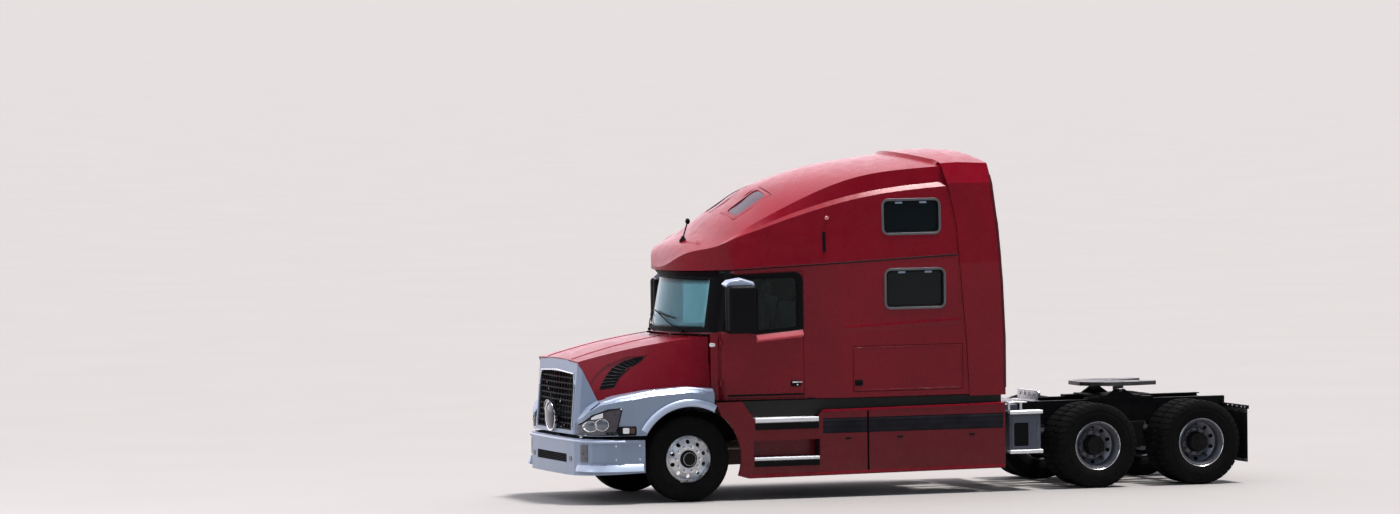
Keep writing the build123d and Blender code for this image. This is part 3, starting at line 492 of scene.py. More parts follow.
# The CAD nodes of each look, left and right alike; the rest is cabin plastic
NODES_OF = (
    (paint, "extenders hood roof"), (paint_cab, "cab_shell door luggage_door"),
    (paint_fairing, "side_fairing"), (silver, "bumper fenders grille_surround"), (chrome, "centre_lamp"),
    (black, "grille mirror"), (rubber, "mudflaps"), (alu, "air_tanks fuel_tanks step_treads"),
    (box_grey, "deck_steps"),
    (cast, "drive_axles driveline front_axle knuckle suspension"), (block_paint, "engine_block radiator"),
    (rail_paint, "chassis_frame fifth_wheel_base tail_lamps"), (greasy, "fifth_wheel_plate"),
    (steel_hot, "exhaust"), (wheel_alu, "rim_front"), (wheel_grey, "rims_drive_1 rims_drive_2"),
    (clear_glass, "headlamps"), (door_tint, "door_glass"), (cab_glass(), "cab_glass"),
)
LOOKS = {stem: look for look, stems in NODES_OF for stem in stems.split()}
for name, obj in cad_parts.items():
    look = LOOKS.get(name.removesuffix("_left").removesuffix("_right"), cabin)
    if obj.material_slots:
        for slot in obj.material_slots:
            slot.material = look
    else:
        obj.data.materials.append(look)


# Floor, light and camera

def stage():
    reach = 2500
    mesh = bpy.data.meshes.new("floor")
    corners = [(-reach, -reach, 0), (reach, -reach, 0), (reach, reach, 0), (-reach, reach, 0)]
    mesh.from_pydata(corners, [], [(0, 1, 2, 3)])
    floor = bpy.data.objects.new("floor", mesh)
    bpy.context.scene.collection.objects.link(floor)
    m = Mat("floor_pale")
    m.link(m.mix(m.drift(0.4, detail=3), (0.31, 0.30, 0.29), (0.318, 0.308, 0.298)), "Base Color")
    m.set(Roughness=0.9)
    mesh.materials.append(m.mat)


def lamp(name, kind, place, aim, energy, size, color):
    """A sun, whose size is its angle in degrees, or a disc, whose size is its diameter."""
    data = bpy.data.lights.new(name, kind)
    data.energy = energy
    data.color = color
    if kind == "AREA":
        data.shape = "DISK"
        data.size = size
    else:
        data.angle = math.radians(size)
    obj = bpy.data.objects.new(name, data)
    obj.location = place
    obj.rotation_euler = (Vector(aim) - Vector(place)).to_track_quat("-Z", "Y").to_euler()
    bpy.context.scene.collection.objects.link(obj)


def camera():
    yaw, pitch, roll = (math.radians(a) for a in (19.21, 2.28, -0.65))
    target = Vector((2.334, 0, 2.798))
    distance = 100
    focal_pixels, image_width, sensor = 8504, 1400, 36
    back = Vector((math.sin(yaw) * math.cos(pitch), math.cos(yaw) * math.cos(pitch), math.sin(pitch)))
    right = Vector((0, 0, 1)).cross(back).normalized()
    up = back.cross(right)
    turned = right * math.cos(roll) + up * math.sin(roll)
    upright = up * math.cos(roll) - right * math.sin(roll)
    data = bpy.data.cameras.new("camera")
    data.sensor_width = sensor
    data.lens = sensor * focal_pixels / image_width
    data.clip_end = 6000
    obj = bpy.data.objects.new("camera", data)
    place = target + back * distance
    obj.matrix_world = Matrix([(turned[i], upright[i], back[i], place[i]) for i in range(3)] + [(0, 0, 0, 1)])
    bpy.context.scene.collection.objects.link(obj)
    bpy.context.scene.camera = obj


def studio():
    """A world that is bright above and behind the truck and dim low on the camera's side."""
    world = bpy.data.worlds.new("studio")
    bpy.context.scene.world = world
    world.use_nodes = True
    nodes, links = world.node_tree.nodes, world.node_tree.links
    background = nodes["Background"]
    background.inputs["Strength"].default_value = 1.35
    sky = nodes.new("ShaderNodeTexCoord")
    toward = nodes.new("ShaderNodeVectorMath")
    toward.operation = "DOT_PRODUCT"
    toward.inputs[1].default_value = (0.0, -0.75, 0.66)
    ramp = nodes.new("ShaderNodeValToRGB")
    for element, place, color in zip(ramp.color_ramp.elements, (0.0, 0.75),
                                     ((0.07, 0.10, 0.14, 1), (0.98, 0.93, 1.0, 1))):
        element.position = place
        element.color = color
    links.new(sky.outputs["Generated"], toward.inputs[0])
    links.new(toward.outputs["Value"], ramp.inputs["Fac"])
    links.new(ramp.outputs["Color"], background.inputs["Color"])
    view = bpy.context.scene.view_settings
    view.view_transform = "Standard"
    view.exposure = 0.15
    view.gamma = 0.88


stage()
camera()
lamp("key", "SUN", (-8, 2.0, 28), (0, 0, 0), 4.2, 10, (1.0, 0.97, 0.95))
lamp("fill", "AREA", (9, 22, 12), (0, 0, 1.6), 700, 14, (0.86, 0.92, 1.0))
lamp("front", "AREA", (18, 4, 9), (2, 0, 1.2), 500, 9, (0.92, 0.95, 1.0))
studio()


# Wheels

GROOVES = (-0.068, -0.024, 0.024, 0.068)
NUT_CIRCLE = 0.1425


def tyre_ring(piece, y, pitches, cut, lugs):
    """A tyre with bead, sidewall and a tread cut from its full radius by grooves and, where asked, lugs."""
    line = [(-0.112, 0.282), (-0.119, 0.288), (-0.127, 0.306), (-0.1335, 0.335), (-0.137, 0.365),
            (-0.1375, 0.392),
            (-0.1352, 0.398), (-0.137, 0.404), (-0.1345, 0.43), (-0.129, 0.455), (-0.122, 0.474),
            (-0.116, 0.485)]
    top, foot, w = 0.4995, 0.4855, 0.0075 if lugs else 0.0065
    tread = [(-0.106, 0.496), (-0.098, 0.4985)]
    for g in GROOVES:
        tread += [(g - w, top), (g - w + 0.002, foot), (g + w - 0.002, foot), (g + w, top)]
    tread += [(0.098, 0.4985), (0.106, 0.496)]
    line = line + tread + [(-o, r) for o, r in reversed(line)]
    rings = []
    for k in range(pitches):
        for part, deep in ((0.0, 0), (cut * 0.15, 1), (cut * 0.85, 1), (cut, 0)):
            a = 2 * math.pi * (k + part) / pitches
            low = deep * (0.013 if lugs else 0.004)
            ring = []
            for o, r in line:
                if deep and r > 0.49 and abs(o) < 0.11:
                    r = r - low * (1 if abs(o) > 0.03 or not lugs else 0.6)
                elif deep and lugs and 0.47 < r < 0.49 and abs(o) > 0.11:
                    r = r - 0.006
                ring.append((r * math.cos(a), y + o, HUB + r * math.sin(a)))
            rings.append(ring)
    piece.solid(rings, looped=True)


def wheels():
    front = Piece()
    tyre_ring(front, FRONT_TYRE_Y, 56, 0.12, False)
    front.pair("tyre_tread_front", tyre_mat, "wheel_front", smooth=32, replaces=("tyre_front",))
    for number, x in enumerate(DRIVE_X):
        drive = Piece()
        for y in DUAL_Y:
            tyre_ring(drive, y, 40, 0.2, True)
        bmesh.ops.translate(drive.bm, vec=(x, 0, 0), verts=drive.bm.verts)
        stem = "drive_%d" % (number + 1)
        drive.pair("tyre_tread_" + stem, tyre_mat, "wheel_" + stem, smooth=32, replaces=("tyres_" + stem,))
    # columns: x, y of the disc's face, y of the cap, wheel, whether it is a drive wheel
    for x, face, end, stem, dished in ((0, FRONT_TYRE_Y + 0.104, FRONT_TYRE_Y + 0.106, "front", False),
                                       (DRIVE_X[0], 1.0, 1.1295, "drive_1", True),
                                       (DRIVE_X[1], 1.0, 1.1295, "drive_2", True)):

        def round_hub(radius, y, angles):
            return [(x + radius * math.cos(a), y, HUB + radius * math.sin(a)) for a in angles]

        body = "wheel_" + stem
        nuts = Piece()
        for place in round_hub(NUT_CIRCLE, face, circle(10)):
            nuts.bolts((place,), "y", 0.0165, 0.036, washer=1.35)
            nuts.ball((place[0], face + 0.036, place[2]), 0.011, (1, 0.8, 1), 10)
        cap = Piece()
        if dished:
            cap.spun((x, end, HUB), "y", ((-0.11, 0.122), (0.0, 0.112), (0.012, 0.104), (0.016, 0.05),
                                          (0.018, 0.0)),
                     40)
            cap.bolts(round_hub(0.07, end + 0.012, circle(8, 0.5)), "y", 0.008, 0.012)
        else:
            cap.spun((x, end, HUB), "y", ((-0.01, 0.104), (0.002, 0.104), (0.006, 0.092), (0.034, 0.082),
                                          (0.045, 0.072), (0.048, 0.05), (0.05, 0.0)), 40)
            cap.bolts(round_hub(0.09, end + 0.008, circle(6, 0.5)), "y", 0.006, 0.01)
        valve = Vector((x + 0.205, face - 0.01, HUB + 0.06))
        if dished:
            # A bright aluminium ring on the drive rims' lip: a painted highlight where the light catches it.
            lip = ((-0.004, 0.272), (0.010, 0.276), (0.016, 0.283), (0.012, 0.290), (-0.004, 0.290))
            rim = Piece().turned((x, DUAL_Y[1] + 0.104, HUB), "y", lip, 72)
            rim.pair("rim_lip_" + stem, alu, body, "wheel_metal", smooth=50)
        nuts.pair("nuts_" + stem, wheel_grey if dished else chrome, body, "wheel_metal", smooth=30)
        cap.pair("hub_cap_" + stem, hub_dark, body, smooth=30)
        stalk = Piece().tube((valve, valve + Vector((0.01, 0.03, 0.012))), 0.005, 8)
        stalk.pair("valve_" + stem, chrome, body)


wheels()


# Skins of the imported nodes, for laying trim on curved panels

class Skin:
    def __init__(self, *names):
        self.trees = []
        for name in names:
            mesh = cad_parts[name].data
            verts = [v.co.copy() for v in mesh.vertices]
            self.trees.append(BVHTree.FromPolygons(verts, [tuple(p.vertices) for p in mesh.polygons]))

    def hit(self, start, way):
        # nearest hit from a station point, as a station point, its normal and how far away it is
        best = None
        for tree in self.trees:
            place, normal, _, far = tree.ray_cast(Vector(start) + Vector((SHIFT, 0, 0)), Vector(way))
            if place is not None and (best is None or far < best[2]):
                best = (place - Vector((SHIFT, 0, 0)), normal, far)
        return best

    def laid(self, start, way, lift):
        # the first point that a ray meets, lifted along the surface's normal
        found = self.hit(start, way)
        if found is None:
            return None
        normal = found[1] if found[1].dot(Vector(way)) < 0 else -found[1]
        return found[0] + normal * lift

    def side(self, x, z, lift=0.0):
        return self.laid((x, 3.0, z), (0, -1, 0), lift)

    def front(self, y, z, lift=0.0):
        return self.laid((3.0, y, z), (-1, 0, 0), lift)


cab_skin = Skin("cab_shell", "roof")
door_skin = Skin("door_left")
luggage_skin = Skin("luggage_door_left")
hood_skin = Skin("hood", "grille_surround", "fenders")
fender_skin = Skin("fenders")
surround_skin = Skin("grille_surround")
fairing_skin = Skin("side_fairing_left")
glass_skin = Skin("cab_glass")
front_skin = Skin("cab_shell", "roof", "cab_glass", "door_left")
head_skin = Skin("headlamps")
bumper_skin = Skin("bumper")
extender_skin = Skin("extenders")


def side_plane(skin, corners):
    """y as a flat function of x and z, through hits at three corners given as (x, z)."""
    a, b, c = (skin.side(x, z) for x, z in corners)
    normal = (b - a).cross(c - a)
    return lambda x, z: a.y - (normal.x * (x - a.x) + normal.z * (z - a.z)) / normal.y


def side_ring(plane, outline, inner, low, high):
    return Piece().ring(outline, inner, lambda x, z, t: (x, plane(x, z) + t, z), low, high)


def inset(edges, by):
    return edges[0] + by, edges[1] - by, edges[2] + by, edges[3] - by


def between(a, b, t):
    return tuple(p + (q - p) * t for p, q in zip(a, b))


def divided(points, step):
    """The same run of points with shorter straight steps."""
    out = [points[0]]
    for a, b in zip(points, points[1:]):
        count = max(1, round(math.dist(a, b) / step))
        out += [between(a, b, (i + 1) / count) for i in range(count)]
    return out


def softened(points, radii, steps=6):
    """The same closed outline with its corners rounded, every corner with the same count of points."""
    out = []
    for i, (point, radius) in enumerate(zip(points, radii)):
        here = Vector(point)
        before = (Vector(points[i - 1]) - here).normalized()
        after = (Vector(points[(i + 1) % len(points)]) - here).normalized()
        reach = radius / math.tan(before.angle(after) / 2)
        start, end = here + before * reach, here + after * reach
        for t in spaced(0, 1, steps + 1):
            out.append(tuple(start * (1 - t) ** 2 + here * 2 * t * (1 - t) + end * t * t))
    return out


def wrapped(skin, path, z, section):
    """A strip along a path of level rays, each ((x, y), way), with a section of (height over z, lift)."""
    return Piece().strip([[skin.laid((x, y, z + height), way, lift) for height, lift in section]
                          for (x, y), way in path])


# Side windows, their frames and clips

def side_windows():
    # columns: name, outer and inner edges, three corners of the flat that they lie on
    for name, outer, inner, corners in (
            ("low", (-3.196, -2.424, 2.176, 2.660), (-3.166, -2.454, 2.204, 2.631),
             ((-3.24, 2.14), (-2.38, 2.14), (-2.38, 2.69))),
            ("high", (-3.146, -2.404, 3.046, 3.475), (-3.116, -2.434, 3.074, 3.446),
             ((-3.19, 3.01), (-2.36, 3.01), (-2.36, 3.5)))):
        plane = side_plane(cab_skin, corners)
        trim = side_ring(plane, rounded(*outer, 0.085), rounded(*inner, 0.05), -0.002, 0.009)
        trim.pair("window_frame_" + name, frame_grey, bevel=0.002)
        seal = side_ring(plane, rounded(*inset(inner, 0.003), 0.05), rounded(*inset(inner, 0.016), 0.04),
                         -0.016, 0.004)
        seal.pair("window_seal_" + name, rubber, bevel=0.001)
        clips = Piece()
        top = inner[3]
        for x in (inner[0] + 0.19, inner[1] - 0.19):
            clips.plate((x - 0.045, x + 0.045, top - 0.032, top - 0.008, 0.008, 3), "y",
                        plane(x, top) - 0.016, plane(x, top) + 0.006)
        clips.pair("window_clips_" + name, silver, bevel=0.002)


side_windows()


# Seats and bunks, with rigid bases under soft pads

PRESSURE = 4.0
BACK_SLOPE = 11


def crowned(x0, x1, y0, y1, z0, z1, edge, step, crown, pinch):
    """A closed pad with rounded edges, a crowned face and sides that pull in between its corners."""
    nx, ny, nz = (max(3, int((b - a) / step)) for a, b in ((x0, x1), (y0, y1), (z0, z1)))
    piece = Piece()
    seen = {}
    cx, cy, cz = (x0 + x1) / 2, (y0 + y1) / 2, (z0 + z1) / 2
    half = (x1 - x0) / 2, (y1 - y0) / 2, (z1 - z0) / 2

    def corner(*key):
        if key not in seen:
            p = [2 * i / n - 1 for i, n in zip(key, (nx, ny, nz))]
            q = [a * h for a, h in zip(p, half)]
            inner = [max(-h + edge, min(h - edge, v)) for v, h in zip(q, half)]
            off = Vector(q) - Vector(inner)
            if off.length > 1e-9:
                off = off.normalized() * edge
            v = Vector(inner) + off
            v.z += crown * (1 - p[0] ** 2) * (1 - p[1] ** 2) * max(p[2], 0)
            v.x -= pinch * p[0] * (1 - p[1] ** 2) * (abs(p[0]) > 0.8)
            v.y -= pinch * p[1] * (1 - p[0] ** 2) * (abs(p[1]) > 0.8)
            seen[key] = piece.vert(cx + v.x, cy + v.y, cz + v.z)
        return seen[key]

    def sheet(count_a, count_b, place):
        for a in range(count_a):
            for b in range(count_b):
                quad = [place(a, b), place(a + 1, b), place(a + 1, b + 1), place(a, b + 1)]
                piece.bm.faces.new([corner(*c) for c in quad])

    for k in (0, nz):
        sheet(nx, ny, lambda a, b, k=k: (a, b, k))
    for j in (0, ny):
        sheet(nx, nz, lambda a, b, j=j: (a, j, b))
    for i in (0, nx):
        sheet(ny, nz, lambda a, b, i=i: (i, a, b))
    return piece


def stood_up(piece, place):
    """Turns a pad to the slope of a seat's back and moves it to its place."""
    upright = Matrix.Rotation(math.radians(-90 + BACK_SLOPE), 3, "Y")
    bmesh.ops.rotate(piece.bm, cent=(0, 0, 0), matrix=upright, verts=piece.bm.verts)
    bmesh.ops.translate(piece.bm, vec=place, verts=piece.bm.verts)
    return piece


def settle(obj):
    """Applies the modifiers by replacing the mesh with its evaluated copy."""
    graph = bpy.context.evaluated_depsgraph_get()
    mesh = bpy.data.meshes.new_from_object(obj.evaluated_get(graph), depsgraph=graph)
    old = obj.data
    obj.modifiers.clear()
    obj.data = mesh
    mesh.name = obj.name
    bpy.data.meshes.remove(old)


def puffed(obj, voxel, cap):
    """Swells a pad with a short cloth run under pressure, no point moving further than the cap."""
    bpy.context.view_layer.objects.active = obj
    remesh = obj.modifiers.new("remesh", "REMESH")
    remesh.mode = "VOXEL"
    remesh.voxel_size = voxel
    settle(obj)
    start = [v.co.copy() for v in obj.data.vertices]
    cloth = obj.modifiers.new("cloth", "CLOTH")
    cloth.settings.use_pressure = True
    cloth.settings.uniform_pressure_force = PRESSURE
    cloth.settings.effector_weights.gravity = 0
    cloth.point_cache.frame_start = 1
    cloth.point_cache.frame_end = 20
    for number in range(1, 21):
        bpy.context.scene.frame_set(number)
    settle(obj)
    bpy.context.scene.frame_set(1)
    for vertex, place in zip(obj.data.vertices, start):
        way = vertex.co - place
        if way.length > cap:
            vertex.co = place + way.normalized() * cap
    smooth = obj.modifiers.new("smooth", "SUBSURF")
    smooth.levels = 1
    smooth.render_levels = 1
    settle(obj)
    obj.data.shade_smooth()


def soft(objects, voxel=0.02, cap=0.012):
    for obj in objects:
        puffed(obj, voxel, cap)


def seats():
    base = Piece()
    base.box(-1.42, -1.08, 0.38, 0.72, 1.24, 1.30)
    base.box(-1.38, -1.12, 0.42, 0.68, 1.30, 1.50)
    base.box(-1.49, -1.01, 0.31, 0.79, 1.50, 1.562)
    base.prism([(-1.505, 1.56), (-1.47, 1.56), (-1.615, 2.29), (-1.655, 2.29)], "y", 0.34, 0.76)
    for y in (0.51, 0.59):
        base.tube(((-1.58, y, 2.27), (-1.612, y, 2.36)), 0.008, 10)
    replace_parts(base.pair("seat_base", cabin, bevel=0.01)[0], "seats")
    cushion = crowned(-1.49, -1.0, 0.31, 0.79, 1.572, 1.682, 0.045, 0.03, 0.012, 0.012)
    soft(cushion.pair("seat_cushion", fabric, smooth=180))
    back = stood_up(crowned(-0.3, 0.3, 0.33, 0.77, -0.06, 0.04, 0.04, 0.03, 0.012, 0.012), (-1.505, 0, 2.0))
    soft(back.pair("seat_back", fabric, smooth=180))
    head = stood_up(crowned(-0.08, 0.08, 0.44, 0.66, -0.04, 0.035, 0.03, 0.02, 0.006, 0.004),
                    (-1.6, 0, 2.395))
    soft(head.pair("head_rest", fabric, smooth=180), voxel=0.012, cap=0.006)
    trays = Piece()
    for x1, z0 in ((-2.5, 1.78), (-2.65, 2.72)):
        trays.box(-3.35, x1, -1.145, 1.145, z0, z0 + 0.03)
        trays.box(x1 - 0.02, x1, -1.145, 1.145, z0 + 0.03, z0 + 0.07)
    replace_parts(trays.done("bunk_trays", cabin, bevel=0.004), "bunks")
    for name, x1, z0, z1 in (("lower", -2.525, 1.815, 1.965), ("upper", -2.675, 2.755, 2.868)):
        mattress = crowned(-3.335, x1, -1.09, 1.09, z0, z1, 0.045, 0.05, 0.01, 0.008)
        soft([mattress.done("mattress_" + name, fabric, smooth=180)], voxel=0.035, cap=0.01)


seats()


# Doors: window frame, belt ledge, handle, mirrors

def skin_strip(skin, line, width, high, ends=0.004):
    """A low strip lying on a side panel along a line of (x, z), domed across its width."""
    rows = []
    points = [Vector((x, 0, z)) for x, z in line]
    for i, p in enumerate(points):
        way = (points[min(i + 1, len(points) - 1)] - points[max(i - 1, 0)]).normalized()
        across = Vector((-way.z, 0, way.x))
        row = []
        for part, lift in ((-0.5, -0.002), (-0.42, 0.7 * high), (-0.15, high), (0.15, high),
                           (0.42, 0.7 * high), (0.5, -0.002)):
            at = p + across * width * part
            found = skin.side(at.x, at.z) or skin.side(p.x, p.z)
            row.append((at.x, found.y + (lift if 0 < i < len(points) - 1 else min(lift, ends)), at.z))
        rows.append(row)
    return Piece().solid(rows)


def doors():
    plane = side_plane(door_skin, ((-1.44, 1.96), (-0.53, 1.93), (-1.44, 2.64)))
    inner = [(-1.39, 1.99), (-1.39, 2.585), (-0.625, 2.585), (-0.565, 2.14), (-0.565, 1.955), (-0.90, 1.955)]
    outer = [(-1.447, 1.962), (-1.447, 2.645), (-0.583, 2.617), (-0.507, 2.19), (-0.472, 1.965),
             (-0.90, 1.925)]
    outer = softened(outer, (0.02, 0.11, 0.02, 0.02, 0.02, 0.02))
    inner = softened(inner, (0.02, 0.07, 0.02, 0.02, 0.02, 0.02))
    side_ring(plane, outer, inner, -0.004, 0.0045).pair("door_window_frame", black, "door", bevel=0.0015)
    deep = [(x + (0.014 if x < -1 else -0.014), z + (0.014 if z < 2.3 else -0.014)) for x, z in inner]
    side_ring(plane, inner, deep, -0.018, 0.002).pair("door_window_seal", rubber, "door", bevel=0.001)
    rail = Piece()
    foot = plane(-1.38, 1.94)
    rail.prism([(foot - 0.012 + a, b) for a, b in
                ((0, 1.878), (0.012, 1.873), (0.054, 1.893), (0.057, 1.903), (0.016, 1.962), (0, 1.966))],
               "x", -1.445, -0.88)
    for v in rail.bm.verts:
        along_door = (v.co.x + 1.38) / 0.5
        v.co.y += (plane(v.co.x, 1.94) - foot) - 0.02 * max(0.0, along_door - 0.9)
        v.co.z += 0.022 * max(0.0, -along_door + 0.2) - 0.045 * max(0.0, along_door)
    # The belt ledge takes the lighter red, a painted highlight.
    rail.pair("belt_ledge", ledge_highlight_paint, "door", bevel=0.006, segments=3)
    y = door_skin.side(-1.36, 1.35).y
    cup = Piece().plate((-1.432, -1.29, 1.305, 1.375, 0.02, 4), "y", y - 0.004, y + 0.0035)
    cup.pair("door_handle_cup", black, "door", bevel=0.0015)
    handle = Piece()
    handle.tube(((-1.42, y, 1.355), (-1.418, y + 0.026, 1.357), (-1.40, y + 0.034, 1.358),
                 (-1.325, y + 0.034, 1.358), (-1.307, y + 0.026, 1.357), (-1.305, y, 1.355)), 0.009, 10)
    handle.tube(((-1.372, y, 1.325), (-1.372, y + 0.006, 1.325)), 0.0095, 16)
    handle.pair("door_handle", chrome, "door")
    seam = skin_strip(door_skin, divided([(-1.445, 1.215), (-0.475, 1.215)], 0.08), 0.022, 0.006)
    seam.pair("door_foot_trim", rubber, "door")


def mirrors():
    edges = (1.247, 1.428, 1.972, 2.493)
    rim = Piece().ring(rounded(*edges, 0.03), rounded(*inset(edges, 0.015), 0.024), "x", -0.7755, -0.766)
    rim.box(-0.7745, -0.766, 1.262, 1.413, 2.142, 2.154)
    rim.pair("mirror_rim", black, "door", bevel=0.002)
    pane = Piece()
    pane.plate((1.262, 1.413, 2.154, 2.478, 0.022), "x", -0.772, -0.766)
    pane.plate((1.262, 1.413, 1.987, 2.142, 0.022), "x", -0.772, -0.766)
    pane.pair("mirror_glass", chrome, "door", bevel=0.001)
    arm = Piece()
    arm.prism([(-0.80, 2.50), (-0.43, 2.50), (-0.40, 2.53), (-0.455, 2.575), (-0.62, 2.60), (-0.80, 2.545)],
              "y", 1.20, 1.30)
    for v in arm.bm.verts:
        if v.co.y > 1.25:
            v.co.z -= 0.02
            v.co.x = -0.6 + (v.co.x + 0.6) * 0.9
    arm.prism([(-0.655, 2.435), (-0.545, 2.435), (-0.555, 2.53), (-0.645, 2.53)], "y", 1.045, 1.205)
    arm.prism([(-0.65, 1.995), (-0.55, 1.995), (-0.555, 2.03), (-0.645, 2.03)], "y", 1.05, 1.24)
    # The bracket is in the lighter silver, a painted highlight.
    arm.pair("mirror_bracket", silver_highlight, "door", bevel=0.006, segments=3)
    pads = Piece()
    for z0, z1 in ((2.405, 2.50), (1.965, 2.06)):
        pads.plate((-0.67, -0.53, z0, z1, 0.015, 4), "y", 1.035, 1.062)
        pads.bolts([(x, 1.062, z) for x in (-0.65, -0.55) for z in (z0 + 0.018, z1 - 0.018)], "y", 0.006,
                   0.006)
    pads.pair("mirror_pads", black, "door", bevel=0.002)
    edges = (-0.773, -0.422, 1.952, 2.513)
    band = Piece().ring(rounded(*edges, 0.047), rounded(*inset(edges, 0.01), 0.043), "y", 1.325, 1.348)
    band.pair("mirror_band", rubber, "door", bevel=0.002)


doors()
mirrors()


# Windscreen: surround, header, wipers and skylights

SCREEN_FOOT = 1.95
SCREEN_LEAN = 0.13 / 0.7
SCREEN_RADIUS = 1.303


def curve_x(y, z):
    """x of the windscreen, which leans back and is curved across."""
    return -(z - SCREEN_FOOT) * SCREEN_LEAN - (SCREEN_RADIUS - math.sqrt(SCREEN_RADIUS ** 2 - y * y))


def windscreen():
    outline, opening = [], []
    # columns: count, first and last point kept, ends of the edge as (y, z), ends of the opening's edge
    for count, kept, outer, inner in (
            (81, slice(None), ((-0.968, 1.952), (0.968, 1.952)), ((-0.841192, 2.005), (0.841192, 2.005))),
            (25, slice(1, None), ((0.968, 1.952), (0.948, 2.642)), ((0.8415, 2.005), (0.8215, 2.57))),
            (81, slice(1, None), ((0.948, 2.642), (-0.948, 2.642)), ((0.821916, 2.57), (-0.821916, 2.57))),
            (25, slice(1, -1), ((-0.948, 2.642), (-0.968, 1.952)), ((-0.8217, 2.57), (-0.8417, 2.005)))):
        outline += [between(*outer, t) for t in spaced(0, 1, count)[kept]]
        opening += [between(*inner, t) for t in spaced(0, 1, count)[kept]]
    surround = Piece().ring(outline, opening, lambda a, b, t: (curve_x(a, b) + t, a, b), -0.004, 0.006)
    surround.done("screen_surround", black, smooth=50)
    outward = Vector((0.66, 0.74, 0))
    rows = []
    for z in spaced(1.962, 2.638, 12):
        lean = (z - SCREEN_FOOT) * SCREEN_LEAN
        row = []
        for along, lift in ((-0.054, -0.002), (-0.05, 0.004), (0.0, 0.005), (0.05, 0.004), (0.062, 0.003),
                            (0.064, -0.002)):
            start = Vector((-0.455 - lean - 0.74 * along, 0.992 + 0.66 * along, z)) + outward
            row.append(front_skin.hit(start, -outward)[0] + outward * lift)
        rows.append(row)
    Piece().solid(rows).pair("pillar_trim", black)
    wipers = Piece()
    for y0, y1 in ((0.62, 0.06), (-0.14, -0.70)):
        pivot = (curve_x(y0, 1.95) + 0.035, y0, 1.957)
        tip = (curve_x(y1, 2.16) + 0.022, y1, 2.16)
        wipers.tube(((pivot[0], y0, 1.945), (pivot[0], y0, 1.975)), 0.016, 14)
        wipers.tube((pivot, ((pivot[0] + tip[0]) / 2 + 0.02, (y0 + y1) / 2, 2.05), tip), 0.007, 8)
        wipers.tube([(curve_x(y1 + s, 2.16 - 0.13 * s) + 0.012, y1 + s, 2.16 - 0.13 * s)
                     for s in (-0.18, -0.1, 0.0, 0.1, 0.2, 0.3, 0.38)], 0.008, 6)
    wipers.done("wipers", black)
    rows = []
    for y in spaced(-0.90, 0.90, 41):
        x = curve_x(y, 2.62)
        rows.append([(x + out, y, z) for out, z in
                     ((0.004, 2.60), (0.012, 2.60), (0.055, 2.652), (0.05, 2.66), (0, 2.66))])
    Piece().solid(rows).done("screen_header", black)


def skylights():
    x0, x1, y0, y1 = -1.19, -0.81, 0.25, 0.58

    def place(x, y, t):
        return (x, y, glass_skin.hit((x, y, 4.5), DOWN)[0].z + t)

    rows = [[place(x, y, 0.004) for y in spaced(y0 - 0.02, y1 + 0.02, 9)]
            for x in spaced(x0 - 0.02, x1 + 0.02, 9)]
    Piece().grid(rows, thick=(0, 0, -0.0035)).pair("skylight_pane", skylight_tint, smooth=60)
    trim = Piece().ring(rounded(-1.234, -0.766, 0.186, 0.634, 0.02, 4), rounded(x0, x1, y0, y1, 0.06, 4),
                        place, 0.002, 0.0155)
    trim.pair("skylight_frame", paint, bevel=0.003)


windscreen()
skylights()


# Side fairings: dark band, seam strips, treads, kick plates

